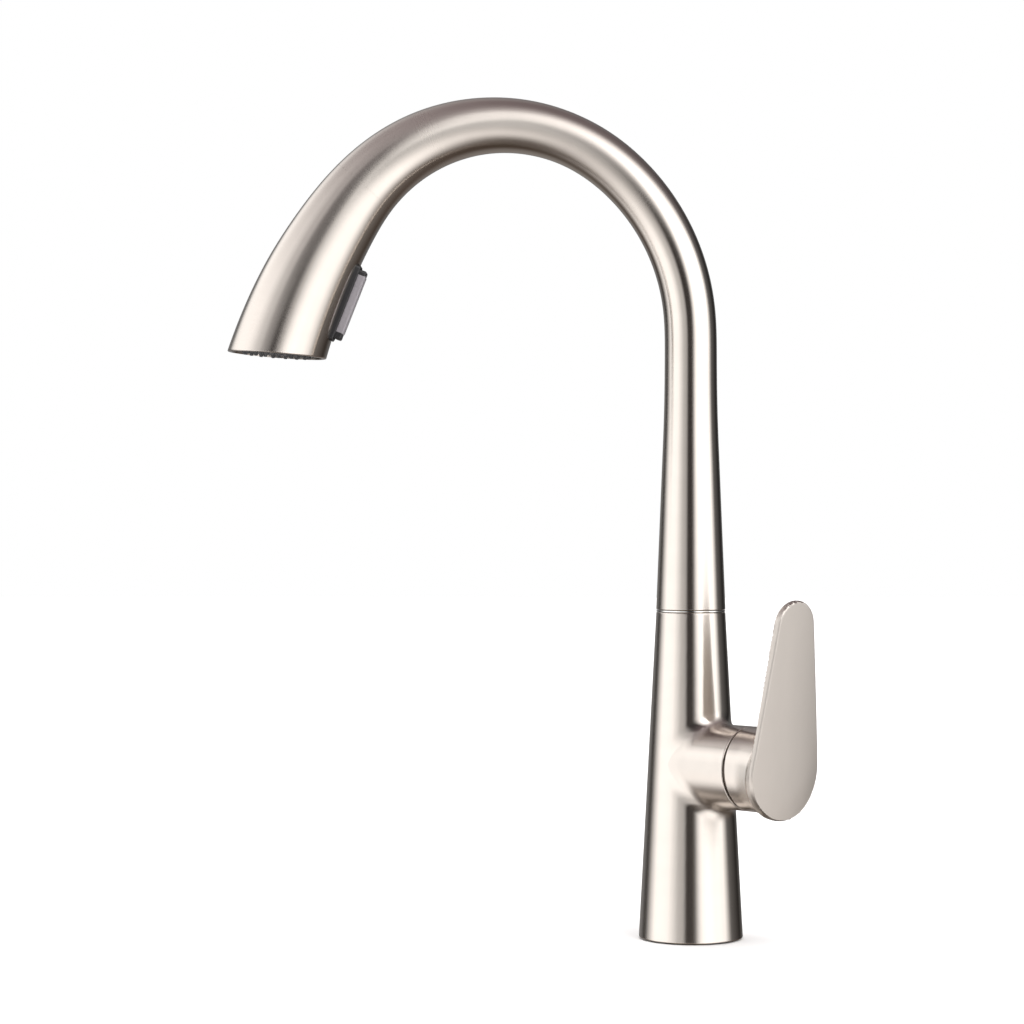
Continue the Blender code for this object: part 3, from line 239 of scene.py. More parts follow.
def node_section(node, axis):
    """The outline of a turned CAD node about a frame's Z, as ordered (radius, height) in millimetres."""
    mesh = frame["nodes"][node].data
    mesh.calc_loop_triangles()
    inverse = np.array(axis.inverted())
    points = mesh_points(mesh) @ inverse[:3, :3].T / MM + inverse[:3, 3] / MM
    sine, cosine = math.sin(SECTION_TILT), math.cos(SECTION_TILT)
    across = cosine * points[:, 1] - sine * points[:, 0]
    radii = cosine * points[:, 0] + sine * points[:, 1]
    edges = {}
    for triangle in mesh.loop_triangles:
        ends = []
        corners = list(triangle.vertices)
        for a, b in zip(corners, corners[1:] + corners[:1]):
            if (across[a] > 0) != (across[b] > 0):
                t = across[a] / (across[a] - across[b])
                r = radii[a] + t * (radii[b] - radii[a])
                ends.append((r, points[a, 2] + t * (points[b, 2] - points[a, 2])))
        if len(ends) == 2 and max(e[0] for e in ends) > 0.01:
            keys = [(round(max(r, 0), 2), round(z, 2)) for r, z in ends]
            if keys[0] != keys[1]:
                edges.setdefault(keys[0], set()).add(keys[1])
                edges.setdefault(keys[1], set()).add(keys[0])
    loose = [key for key, others in edges.items() if len(others) == 1]
    start = min(loose) if loose else max(edges)
    chain, last = [start], None
    while True:
        options = [key for key in edges[chain[-1]] if key != last]
        if not options or options[0] == start:
            break
        last = chain[-1]
        chain.append(options[0])
    return without_straight_points(chain, closed=not loose)


def without_straight_points(chain, closed):
    """Drops the points of a chain that lie on the straight line between their neighbours."""
    kept = []
    for i, p in enumerate(chain):
        if closed or 0 < i < len(chain) - 1:
            a, b = chain[i - 1], chain[(i + 1) % len(chain)]
            one, two = (p[0] - a[0], p[1] - a[1]), (b[0] - p[0], b[1] - p[1])
            bend = abs(one[0] * two[1] - one[1] * two[0])
            if bend < STRAIGHT * math.hypot(*one) * math.hypot(*two) + 1e-4:
                continue
        kept.append(p)
    return kept


def finished(obj, node, look=None):
    """Sets a piece's material and its body, and lets it stand for its CAD node."""
    obj.data.materials.append(MATERIALS[look or SLOTS[node]])
    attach(obj, frame["nodes"][node]["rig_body"])
    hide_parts(node)


def spin_again(node, axis, steps=96):
    """Replaces a turned CAD node by the same outline in finer steps and with eased edges."""
    finished(revolve(f"{node}_turned", node_section(node, axis), axis, steps), node)


def baked(obj):
    """Applies an object's modifiers to its mesh."""
    graph = bpy.context.evaluated_depsgraph_get()
    mesh = bpy.data.meshes.new_from_object(obj.evaluated_get(graph))
    obj.modifiers.clear()
    old, obj.data = obj.data, mesh
    bpy.data.meshes.remove(old)


def cut(obj, *tools):
    """Takes the tools' shapes out of a closed mesh, and removes the tools."""
    for tool in tools:
        modifier = obj.modifiers.new(tool.name, "BOOLEAN")
        modifier.object = tool
        modifier.solver = "MANIFOLD"
    baked(obj)
    obj.data.materials.clear()
    obj.data.polygons.foreach_set("material_index", [0] * len(obj.data.polygons))
    obj.data.set_sharp_from_angle(angle=SHARP)
    for tool in tools:
        bpy.data.objects.remove(tool)


# ---- The gooseneck's line, with its bends eased into each other ----

LINE_STEP, LINE_EASE, RADIUS_EASE = 0.5, 24.0, 16.0


def eased(values, width):
    """A running mean over a width in millimetres."""
    half = int(width / LINE_STEP / 2)
    window = np.ones(2 * half + 1) / (2 * half + 1)
    return np.convolve(np.pad(values, half, mode="reflect", reflect_type="odd"), window, "valid")


def spout_line():
    """Distance from the spout's foot, x, z, direction from straight up, and radius along the gooseneck."""
    along = np.arange(0, SPOUT_LENGTH + LINE_STEP / 2, LINE_STEP)
    curvature = np.zeros_like(along)
    start = BEND_START_Z - SPOUT_BOTTOM_Z
    for radius, degrees in SPOUT_ARCS:
        length = radius * math.radians(degrees)
        curvature[(along >= start) & (along < start + length)] = 1 / radius
        start += length
    curvature[along >= start] = 1 / SPOUT_ARCS[-1][0]
    curvature = eased(curvature, LINE_EASE)
    middle = (curvature[1:] + curvature[:-1]) / 2 * LINE_STEP
    turn = np.concatenate([[0], np.cumsum(middle)])
    half_turn = (turn[1:] + turn[:-1]) / 2
    x = np.concatenate([[0], np.cumsum(-np.sin(half_turn) * LINE_STEP)])
    z = SPOUT_BOTTOM_Z + np.concatenate([[0], np.cumsum(np.cos(half_turn) * LINE_STEP)])
    radius = eased(hermite(SPOUT_LENGTH - along), RADIUS_EASE)
    return along, x, z, turn, radius


def hermite(left):
    """The outer radius at distances before the outlet, smooth through its stations."""
    at, value = np.array(SPOUT_RADII).T
    slope = np.gradient(value, at)
    slope[1:-1] = (value[2:] - value[:-2]) / (at[2:] - at[:-2])
    i = np.clip(np.searchsorted(at, left, side="right") - 1, 0, len(at) - 2)
    span = at[i + 1] - at[i]
    t = (left - at[i]) / span
    level = value[i] * (1 + 2 * t) * (1 - t) ** 2 + value[i + 1] * t * t * (3 - 2 * t)
    return level + span * (slope[i] * t * (1 - t) ** 2 + slope[i + 1] * t * t * (t - 1))


LINE = spout_line()


def smooth(t):
    t = np.clip(t, 0, 1)
    return t * t * (3 - 2 * t)


HOLDING_LOOP = 0.05  # from a rounded edge to the next ring, so that the shading stays true up to the edge


def spout_ring(along, inset=0.0, steps=96):
    """A ring round the gooseneck, leaning to the outlet plane near the outlet."""
    x, z, turn, radius = (float(np.interp(along, LINE[0], column)) for column in LINE[1:])
    radius -= inset
    lean = (math.radians(FACE_ANGLE) - LINE[3][-1]) * smooth(1 - (LINE[0][-1] - along) / FACE_BLEND)
    across = np.array((math.cos(turn + lean), 0, math.sin(turn + lean))) / math.cos(lean)
    turns = np.arange(steps) * math.tau / steps
    side = np.array((0, 1, 0))
    return np.array((x, 0, z)) + radius * (np.cos(turns)[:, None] * across + np.sin(turns)[:, None] * side)


def swept_shell(name, start, end, wall, start_edge, end_edge, step=2.5, steps=96):
    """A tube's wall along the gooseneck, with its outer edges rounded."""
    rounding = [(1 - math.sin(a), 1 - math.cos(a)) for a in (math.radians(30 * i) for i in range(4))]
    head = [(start + start_edge * back, start_edge * inset) for back, inset in reversed(rounding)]
    tail = [(end - end_edge * back, end_edge * inset) for back, inset in rounding]
    first, last = start + start_edge + HOLDING_LOOP, end - end_edge - HOLDING_LOOP
    count = round((end - start) / step)
    body = [(first + (last - first) * i / count, 0.0) for i in range(count + 1)]
    rings = [spout_ring(at, inset, steps) for at, inset in head + body + tail]
    inner_count = count // 3
    rings += [spout_ring(end - (end - start) * i / inner_count, wall, steps) for i in range(inner_count + 1)]
    return grid_mesh(name, rings, closed=True, start=start)


# ---- Implicit surfaces, for castings whose shapes run into each other ----


def gradient(distance, points, step=0.02):
    out = np.empty_like(points)
    for axis in range(3):
        ahead, behind = points.copy(), points.copy()
        ahead[:, axis] += step
        behind[:, axis] -= step
        out[:, axis] = (distance(ahead) - distance(behind)) / (2 * step)
    return out


def joined(one, other, points, fillet):
    """The smaller of two distances, blended over a reach that shrinks where the surfaces meet flat."""
    a, b = one(points), other(points)
    together = (gradient(one, points) * gradient(other, points)).sum(1)
    reach = fillet * np.sqrt(np.clip(1 - together, 0, 1))
    share = np.clip(reach - np.abs(a - b), 0, None) / np.maximum(reach, 1e-6)
    return np.minimum(a, b) - share * share * reach / 4


PULLS, LONGEST_PULL = 6, 2.0  # of a remeshed solid's points onto the surface


def implicit_mesh(name, distance, seeds, voxel):
    """A fine quad mesh of the surface where distance is 0, from overlapping closed solids in a bmesh."""
    mesh = bpy.data.meshes.new(name)
    seeds.to_mesh(mesh)
    seeds.free()
    obj = linked(name, mesh)
    remesh = obj.modifiers.new("remesh", "REMESH")
    remesh.mode = "VOXEL"
    remesh.voxel_size = voxel
    baked(obj)
    points = mesh_points(obj.data)
    for _ in range(PULLS):
        slope = gradient(distance, points)
        step = (distance(points) / np.maximum((slope**2).sum(1), 1e-4))[:, None] * slope
        size = np.linalg.norm(step, axis=1, keepdims=True)
        points -= step * np.minimum(1, LONGEST_PULL / np.maximum(size, 1e-9))
    obj.data.vertices.foreach_set("co", points.ravel())
    return obj


def seed_solids(*solids):
    """A bmesh of cones given as (low radius, high radius, length, frame of the middle)."""
    bm = bmesh.new()
    for low, high, length, place in solids:
        size = {"radius1": low, "radius2": high, "depth": length}
        bmesh.ops.create_cone(bm, cap_ends=True, segments=64, matrix=place, **size)
    return bm


def in_mm(place):
    """A frame in metres as one in millimetres."""
    out = place.copy()
    out.translation = out.translation / MM
    return out


def sliced(obj, point, normal, layers):
    """Cuts a mesh off beyond a plane, and closes it with rings of (inset from the cut, rise along normal)."""
    bm = bmesh.new()
    bm.from_mesh(obj.data)
    everything = bm.verts[:] + bm.edges[:] + bm.faces[:]
    normal = Vector(normal).normalized()
    cut_plane = bmesh.ops.bisect_plane(bm, geom=everything, plane_co=point, plane_no=normal, clear_outer=True)
    rim = [e for e in cut_plane["geom_cut"] if isinstance(e, bmesh.types.BMEdge)]
    bmesh.ops.remove_doubles(bm, verts=list({v for e in rim for v in e.verts}), dist=0.02)
    rim = [e for e in bm.edges if e.is_boundary]
    middle = Vector(point)
    before = (0.0, 0.0)
    for inset, rise in layers:
        made = bmesh.ops.extrude_edge_only(bm, edges=rim)["geom"]
        for v in [g for g in made if isinstance(g, bmesh.types.BMVert)]:
            out = v.co - middle
            out -= normal * out.dot(normal)
            v.co += normal * (rise - before[1]) - out.normalized() * (inset - before[0])
        rim = [g for g in made if isinstance(g, bmesh.types.BMEdge)]
        before = (inset, rise)
    bmesh.ops.holes_fill(bm, edges=rim, sides=0)
    bmesh.ops.recalc_face_normals(bm, faces=bm.faces)
    bm.to_mesh(obj.data)
    bm.free()


def brush_uv(obj, mapping):
    """A UV in millimetres from a function of the loops' points and their faces' middles."""
    mesh = obj.data
    count = len(mesh.loops)
    loops, totals = np.empty(count, int), np.empty(len(mesh.polygons), int)
    mesh.loops.foreach_get("vertex_index", loops)
    mesh.polygons.foreach_get("loop_total", totals)
    owner = np.repeat(np.arange(len(totals)), totals)
    points = mesh_points(mesh)[loops]
    middles = np.empty((len(totals), 3))
    for axis in range(3):
        middles[:, axis] = np.bincount(owner, points[:, axis], len(totals)) / totals
    uv = mapping(points, middles[owner])
    layer = mesh.uv_layers.new(name="brush")
    layer.data.foreach_set("uv", uv.astype(np.float32).ravel())


def round_uv(points, middles, radius):
    """U along a local Z and V round it, with a face's loops kept on its side of the seam."""
    a = np.arctan2(points[:, 1], points[:, 0])
    middle = np.arctan2(middles[:, 1], middles[:, 0])
    near = middle + (a - middle + math.pi) % math.tau - math.pi
    return np.stack([points[:, 2], near * radius], 1)


def local_points(points, place):
    """Points in millimetres in the row frame as points of a frame."""
    inverse = np.array(in_mm(place).inverted())
    return points @ inverse[:3, :3].T + inverse[:3, 3]


def to_metres(obj):
    obj.data.transform(Matrix.Diagonal((MM, MM, MM, 1)))
    obj.data.shade_smooth()
    obj.data.set_sharp_from_angle(angle=SHARP)


# ---- Materials ----


def new_material(name, colour, roughness, metallic=0.0):
    """A Principled material and its node tree."""
    material = bpy.data.materials.new(name)
    material.use_nodes = True
    shader = material.node_tree.nodes["Principled BSDF"]
    shader.inputs["Base Color"].default_value = (*colour, 1.0)
    shader.inputs["Roughness"].default_value = roughness
    shader.inputs["Metallic"].default_value = metallic
    return material, material.node_tree, shader


def add_node(tree, kind, values=None, **settings):
    node = tree.nodes.new(kind)
    for key, value in settings.items():
        setattr(node, key, value)
    for key, value in (values or {}).items():
        node.inputs[key].default_value = value
    return node


def maths(tree, operation, *values):
    """A Math node on sockets or numbers."""
    node = add_node(tree, "ShaderNodeMath", operation=operation)
    for socket, value in zip(node.inputs, values):
        if isinstance(value, (int, float)):
            socket.default_value = value
        else:
            tree.links.new(value, socket)
    return node.outputs[0]


def separated(tree, vector):
    """A vector's X, Y and Z."""
    node = add_node(tree, "ShaderNodeSeparateXYZ")
    tree.links.new(vector, node.inputs["Vector"])
    return node.outputs


def noise(tree, vector, scale, detail, stretch=None):
    """Noise over a vector, stretched by a scale for each axis."""
    node = add_node(tree, "ShaderNodeTexNoise", {"Scale": scale, "Detail": detail})
    if stretch is not None:
        mapping = add_node(tree, "ShaderNodeMapping", {"Scale": stretch})
        tree.links.new(vector, mapping.inputs["Vector"])
        vector = mapping.outputs["Vector"]
    tree.links.new(vector, node.inputs["Vector"])
    return node.outputs["Fac"]


def spread(tree, value, low, high, edges=(0.3, 0.7)):
    """A value between edges as a value between low and high."""
    limits = {"From Min": edges[0], "From Max": edges[1], "To Min": low, "To Max": high}
    node = add_node(tree, "ShaderNodeMapRange", limits)
    tree.links.new(value, node.inputs["Value"])
    return node.outputs["Result"]


def tinted(tree, shader, value, dark, light):
    """Varies the colour between two tints by a value."""
    node = add_node(tree, "ShaderNodeMix", data_type="RGBA")
    node.inputs[6].default_value, node.inputs[7].default_value = (*dark, 1), (*light, 1)
    tree.links.new(value, node.inputs["Factor"])
    tree.links.new(node.outputs[2], shader.inputs["Base Color"])


def bumped(tree, shader, value, strength, distance):
    node = add_node(tree, "ShaderNodeBump", {"Strength": strength, "Distance": distance})
    tree.links.new(value, node.inputs["Height"])
    tree.links.new(node.outputs["Normal"], shader.inputs["Normal"])


def scaled(colour, factor):
    return tuple(min(c * factor, 1.0) for c in colour)


NICKEL = (0.74, 0.68, 0.625)
LINE_STRETCH, PATCH_STRETCH = (6.0, 0.06, 1.0), (0.12, 0.05, 1.0)  # along a piece and round it
LINE_ROUGHNESS, LINE_BUMP, LINE_DEPTH = (0.205, 0.235), 0.035, 0.00003
SOFT_FINISH = 0.14  # added to the roughness over the top of the gooseneck
SOFT_RISE, SOFT_FALL = (180.0, 260.0), (290.0, 355.0)  # along the spout from its bottom


def brushed_nickel():
    """Nickel brushed round each piece: crisp across the lines, drawn out along them, softer on the bend."""
    material, tree, shader = new_material("brushed_nickel", NICKEL, LINE_ROUGHNESS[0], 1.0)
    shader.inputs["Anisotropic"].default_value = 1.0
    brush = add_node(tree, "ShaderNodeUVMap", uv_map="brush").outputs["UV"]
    tangent = add_node(tree, "ShaderNodeTangent", direction_type="UV_MAP", uv_map="brush")
    tree.links.new(tangent.outputs["Tangent"], shader.inputs["Tangent"])
    lines = noise(tree, brush, 1.0, 4.0, LINE_STRETCH)
    patches = noise(tree, brush, 1.0, 2.0, PATCH_STRETCH)
    along = separated(tree, brush)[0]
    rise = spread(tree, along, 0.0, SOFT_FINISH, SOFT_RISE)
    fall = spread(tree, along, SOFT_FINISH, 0.0, SOFT_FALL)
    softer = maths(tree, "MINIMUM", rise, fall)
    roughness = maths(tree, "ADD", spread(tree, lines, *LINE_ROUGHNESS), softer)
    tree.links.new(roughness, shader.inputs["Roughness"])
    tinted(tree, shader, patches, scaled(NICKEL, 0.97), scaled(NICKEL, 1.03))
    bumped(tree, shader, lines, LINE_BUMP, LINE_DEPTH)
    return material


GRAIN_DEPTH = 0.00004


def grained(name, colour, roughness, metallic, grain, cloud, swing, tints, bump):
    """A fine grain in roughness and height, and clouds of tone. Both are a noise's (scale, detail)."""
    material, tree, shader = new_material(name, colour, roughness, metallic)
    place = add_node(tree, "ShaderNodeTexCoord").outputs["Object"]
    fine = noise(tree, place, *grain)
    tree.links.new(spread(tree, fine, roughness - swing[0], roughness + swing[1]), shader.inputs["Roughness"])
    tinted(tree, shader, noise(tree, place, *cloud), scaled(colour, tints[0]), scaled(colour, tints[1]))
    bumped(tree, shader, fine, bump, GRAIN_DEPTH)
    return material


def metal(name, colour, roughness):
    """A plain turned or plated metal with faint tool marks."""
    return grained(name, colour, roughness, 1.0, (900.0, 3.0), (60.0, 2.0), (0.05, 0.07), (0.9, 1.06), 0.05)


def plain(name, colour, roughness, grain=700.0, shift=0.12):
    """Moulded plastic, rubber or ceramic."""
    tints = 1 - shift, 1 + shift
    return grained(name, colour, roughness, 0.0, (grain, 4.0), (45.0, 2.0), (0.06, 0.08), tints, 0.12)


STRANDS, BRAID_PITCH = 16.0, 1600.0  # the weave's waves round the hose, and its radians for each metre


def braid():
    """A diagonal weave round the hose, laid out along the docking axis."""
    material, tree, shader = new_material("hose_braid", (0.3, 0.3, 0.31), 0.5)
    place = add_node(tree, "ShaderNodeTexCoord").outputs["Object"]
    mapping = add_node(tree, "ShaderNodeMapping", vector_type="TEXTURE")
    mapping.inputs["Location"].default_value = DOCK.translation
    mapping.inputs["Rotation"].default_value = DOCK.to_euler()
    tree.links.new(place, mapping.inputs["Vector"])
    x, y, z = separated(tree, mapping.outputs["Vector"])
    angle = maths(tree, "ARCTAN2", y, x)
    turns = [maths(tree, "MULTIPLY", angle, strands) for strands in (STRANDS, -STRANDS)]
    waves = [maths(tree, "SINE", maths(tree, "MULTIPLY_ADD", z, BRAID_PITCH, turn)) for turn in turns]
    height = spread(tree, maths(tree, "MAXIMUM", *waves), 0.0, 1.0, (-0.6, 1.0))
    tinted(tree, shader, height, (0.05, 0.05, 0.055), (0.5, 0.5, 0.52))
    bumped(tree, shader, height, 0.7, 0.0002)
    return material


MATERIALS = {
    "brushed_nickel": brushed_nickel(),
    "dome_metal": metal("dome_metal", (0.62, 0.58, 0.55), 0.3),
    "bright_ring": metal("bright_ring", (0.92, 0.9, 0.87), 0.12),
    "brass": metal("brass", (0.76, 0.57, 0.29), 0.3),
    "steel": metal("steel", (0.62, 0.62, 0.63), 0.28),
    "black_rubber": plain("black_rubber", (0.022, 0.022, 0.022), 0.6, 500.0),
    "nozzle_rubber": plain("nozzle_rubber", (0.045, 0.045, 0.047), 0.5),
    "white_plastic": plain("white_plastic", (0.75, 0.75, 0.73), 0.4, shift=0.05),
    "dark_plastic": plain("dark_plastic", (0.02, 0.019, 0.02), 0.35),
    "face_grey": plain("face_grey", (0.07, 0.067, 0.067), 0.38),
    "button_grey": plain("button_grey", (0.27, 0.25, 0.265), 0.3),
    "ceramic": plain("ceramic", (0.86, 0.85, 0.82), 0.18, shift=0.03),
    "hose_braid": braid(),
}


# ---- Body casting ----


def body_radius(z):
    return BASE_RADIUS + (BODY_TOP_RADIUS - BASE_RADIUS) * z / BODY_TOP_Z


def cone_distance(points):
    slope = (BASE_RADIUS - BODY_TOP_RADIUS) / BODY_TOP_Z
    return (np.hypot(points[:, 0], points[:, 1]) - body_radius(points[:, 2])) / math.hypot(1, slope)


def boss_distance(points):
    """To the boss, which has a round end inside the column."""
    local = local_points(points, VALVE)
    behind = np.clip(BOSS_ROOT - local[:, 2], 0, None)
    return np.sqrt(local[:, 0] ** 2 + local[:, 1] ** 2 + behind**2) - BOSS_RADIUS


BOSS_ROOT, BORE_ROOT = 6.0, 5.0
BODY_FILLET, BODY_VOXEL = 7.0, 0.9  # reach of the blend where boss and column meet square, size of the mesh
BRUSH_RADIUS = 22.0  # at which the column's brushing is true to size
BOSS_BRUSH, PADDLE_BRUSH = 700.0, 300.0  # where their brushing starts, clear of the column's and the hub's


def body_distance(points):
    return joined(cone_distance, boss_distance, points, BODY_FILLET)


def body_uv(points, middles):
    """Brushed round the column, and round the boss on the boss."""
    column = round_uv(points, middles, BRUSH_RADIUS)
    boss = round_uv(local_points(points, VALVE), local_points(middles, VALVE), BOSS_RADIUS)
    on_boss = boss_distance(middles) < cone_distance(middles)
    return np.where(on_boss[:, None], boss + (BOSS_BRUSH, 0), column)


def ring_layers(edge, inner, segments=4):
    """Layers that round an outer edge and then close a flat end in to an inner inset."""
    angles = [math.radians(90 * i / segments) for i in range(1, segments + 1)]
    return [(edge * (1 - math.cos(a)), edge * math.sin(a)) for a in angles] + [(inner, edge)]


def make_body():
    """The conical casting with its boss run into it, hollow, with its gasket groove and valve bore."""
    spare = 6.0  # of the seeds' column beyond each end
    column = Matrix.Translation((0, 0, BODY_TOP_Z / 2))
    boss = in_mm(VALVE) @ Matrix.Translation((0, 0, BOSS_END / 2 + 2))
    seeds = seed_solids(
        (body_radius(-spare), body_radius(BODY_TOP_Z + spare), BODY_TOP_Z + 2 * spare, column),
        (BOSS_RADIUS, BOSS_RADIUS, BOSS_END + 2, boss),
    )
    body = implicit_mesh("body_casting", body_distance, seeds, BODY_VOXEL)
    rim, top_edge, boss_edge = 0.7, 0.3, 0.5
    sliced(body, (0, 0, BODY_BOTTOM_Z + rim), (0, 0, -1), ring_layers(rim, 6.0))
    sliced(body, (0, 0, BODY_TOP_Z - top_edge), (0, 0, 1), ring_layers(top_edge, 4.0))
    axis = in_mm(VALVE)
    out = axis.to_3x3() @ Vector((0, 0, 1))
    sliced(body, axis.translation + out * (BOSS_END - boss_edge), out, ring_layers(boss_edge, 1.5))
    brush_uv(body, body_uv)
    to_metres(body)
    floor, roof = (body_radius(z) - BODY_WALL for z in (FLOOR_TOP_Z, NECK_PLATE_Z))
    cavity = [(0, -PAST), (SHANK_HOLE, -PAST), (SHANK_HOLE, FLOOR_TOP_Z), (floor, FLOOR_TOP_Z)]
    cavity += [(roof, NECK_PLATE_Z), (NECK_HOLE, NECK_PLATE_Z)]
    cavity += [(NECK_HOLE, BODY_TOP_Z + PAST), (0, BODY_TOP_Z + PAST)]
    groove = rectangle(GROOVE_INNER, GROOVE_OUTER, -PAST, GROOVE_TOP_Z)
    bore = rectangle(0, BOSS_BORE, BORE_ROOT, BOSS_END + PAST)
    tools = (("cavity", cavity, COLUMN), ("groove", groove, COLUMN), ("bore", bore, VALVE))
    cut(body, *(revolve(*tool, edge=0) for tool in tools))
    finished(body, "body_shell")


# ---- Lever ----

LEVER_EDGE, LEVER_CROWN_RADIUS, LEVER_FILLET, LEVER_VOXEL = 1.1, 190.0, 3.0, 0.5
LEVER_ROLL, LEVER_ROLL_REACH, LEVER_ROLL_FROM = 0.5, 14.0, 12.0  # the face's turn down to its lower edge
HUB_FLARE_START, HUB_FLARE_LENGTH, HUB_FLARE, HUB_END = 47.5, 14.0, 1.6, 61.5
SCREW_DEPTH = 54.5  # of the set screw, along the valve's axis
SCREW_RADIUS, PLUG_RADIUS = 2.3, 3.2
PLUG_FLOOR, SCREW_HOLE_END = 17.5, 32.0  # down from the valve's axis
SOCKET_SIDE, SOCKET_START, SOCKET_END = 7.6, 45.7, 58.3  # the stem's square hole, along the valve's axis


def paddle_distance(local):
    """To the paddle, in the valve's frame: a teardrop slab, leaning out, its face crowned across."""
    x, y = local[:, 0], local[:, 1]
    share = (PADDLE_LOW_RADIUS - PADDLE_TOP_RADIUS) / PADDLE_RISE
    flank = math.sqrt(1 - share * share)
    side = np.abs(x)
    along = y * flank - side * share
    low = np.hypot(x, y) - PADDLE_LOW_RADIUS
    top = np.hypot(x, y - PADDLE_RISE) - PADDLE_TOP_RADIUS
    straight = side * flank + y * share - PADDLE_LOW_RADIUS
    outline = np.where(along < 0, low, np.where(along > PADDLE_RISE * flank, top, straight))
    crown = x * x / (2 * LEVER_CROWN_RADIUS)
    low_end = np.clip((LEVER_ROLL_FROM - y) / LEVER_ROLL_FROM / 2, 0, 1)
    crown += LEVER_ROLL * low_end * np.clip(1 + outline / LEVER_ROLL_REACH, 0, 1) ** 2
    lean = y * math.tan(math.radians(PADDLE_LEAN))
    depth = PADDLE_FACE + lean - crown - local[:, 2]
    slab = np.abs(depth - PADDLE_THICK / 2) - PADDLE_THICK / 2
    a, b = outline + LEVER_EDGE, slab + LEVER_EDGE
    inside = np.minimum(np.maximum(a, b), 0)
    return inside + np.hypot(np.clip(a, 0, None), np.clip(b, 0, None)) - LEVER_EDGE


def hub_distance(local):
    """To the hub, in the valve's frame: straight at the rim, then wider and lower towards the paddle."""
    flare = HUB_FLARE * smooth((local[:, 2] - HUB_FLARE_START) / HUB_FLARE_LENGTH)
    around = np.hypot(local[:, 0], local[:, 1] + flare) - HUB_RADIUS - flare
    return np.maximum(around, local[:, 2] - HUB_END)


def lever_distance(points):
    return joined(hub_distance, paddle_distance, local_points(points, VALVE), LEVER_FILLET)


def lever_uv(points, middles):
    """Brushed round the hub, and up and down the paddle."""
    inner, centres = local_points(points, VALVE), local_points(middles, VALVE)
    hub = round_uv(inner, centres, HUB_RADIUS)
    on_hub = hub_distance(centres) < paddle_distance(centres)
    return np.where(on_hub[:, None], hub, inner[:, :2] + (PADDLE_BRUSH, 0))


def teardrop(inset, steps=40):
    """The paddle's outline: a large and a small arc joined by their tangents."""
    low, top = PADDLE_LOW_RADIUS - inset, PADDLE_TOP_RADIUS - inset
    meet = math.asin((low - top) / PADDLE_RISE)
    arcs = ((top, PADDLE_RISE, meet, math.pi - meet), (low, 0.0, math.pi - meet, math.tau + meet))
    return [
        (radius * math.cos(a), rise + radius * math.sin(a))
        for radius, rise, start, end in arcs
        for a in np.linspace(start, end, steps + 1)
    ]


def add_slab(bm, outline, thick, place):
    """Adds an extruded outline, centred on its frame's XY plane."""
    low = [bm.verts.new(place @ Vector((x, y, -thick / 2))) for x, y in outline]
    high = [bm.verts.new(place @ Vector((x, y, thick / 2))) for x, y in outline]
    bm.faces.new(low[::-1])
    bm.faces.new(high)
    for i in range(len(outline)):
        j = (i + 1) % len(outline)
        bm.faces.new((low[i], low[j], high[j], high[i]))


def make_lever():
    """Hub and paddle as one casting, hollow over the cartridge's dome, with the set screw's hole below."""
    axis = in_mm(VALVE)
    hub_start, hub_end = 34.0, 62.0  # of the hub's seed
    hub = axis @ Matrix.Translation((0, 0, (hub_start + hub_end) / 2))
    seeds = seed_solids((HUB_RADIUS, HUB_RADIUS, hub_end - hub_start, hub))
    lean = Matrix.Rotation(math.radians(PADDLE_LEAN), 4, "X")
    paddle = axis @ Matrix.Translation((0, 0, PADDLE_FACE - PADDLE_THICK / 2)) @ lean
    add_slab(seeds, teardrop(0.5), PADDLE_THICK - 1, paddle)
    lever = implicit_mesh("lever_casting", lever_distance, seeds, LEVER_VOXEL)
    tilt = (HUB_RIM_BOTTOM - HUB_RIM_TOP) / (2 * HUB_RADIUS)
    edge = 0.35
    middle = axis @ Vector((0, 0, (HUB_RIM_TOP + HUB_RIM_BOTTOM) / 2 + edge))
    towards_body = axis.to_3x3() @ Vector((0, -tilt, -1)).normalized()
    sliced(lever, middle, towards_body, ring_layers(edge, 3.0))
    brush_uv(lever, lever_uv)
    to_metres(lever)
    before_rim = HUB_RIM_TOP - 8
    cavity = [(0, before_rim), (HUB_RIM_BORE, before_rim), (HUB_RIM_BORE - 0.2, HUB_CAVITY_END - 1.5)]
    cavity += [(HUB_RIM_BORE - 1.6, HUB_CAVITY_END), (0, HUB_CAVITY_END)]
    down = shifted(VALVE, 0, 0, SCREW_DEPTH) @ Matrix.Rotation(math.radians(90), 4, "X")
    screw = [(0, 0), (SCREW_RADIUS, 0), (SCREW_RADIUS, PLUG_FLOOR), (PLUG_RADIUS, PLUG_FLOOR)]
    screw += [(PLUG_RADIUS, SCREW_HOLE_END), (0, SCREW_HOLE_END)]
    half = SOCKET_SIDE / 2
    rings = [[(x, y, z) for x, y in rectangle(-half, half, -half, half)] for z in (SOCKET_START, SOCKET_END)]
    hole = grid_mesh("socket", rings, VALVE, capped=True)
    cut(lever, revolve("cavity", cavity, VALVE, edge=0), revolve("screw", screw, down, 32, 0), hole)
    spin_again("handle_plug", down, 48)
    spin_again("handle_set_screw", down, 48)
    finished(lever, "handle")


# ---- Spout and spray head ----

FOOT_EDGE, MOUTH_EDGE, SEAM_EDGE = 0.3, 0.6, 0.01  # rounding of the spout's foot, the mouth and the seam
SLOT_BOX = (-8.0, -7.3, -20.3), (7.0, 7.3, 20.3)  # corners in the rocker's seat
FRAME_BOX = (-1.2, -7.0, -20.0), (2.6, 7.0, 20.0)
WELL_BOX = (-6.0, -6.0, -18.9), (1.6, 6.0, 18.9)


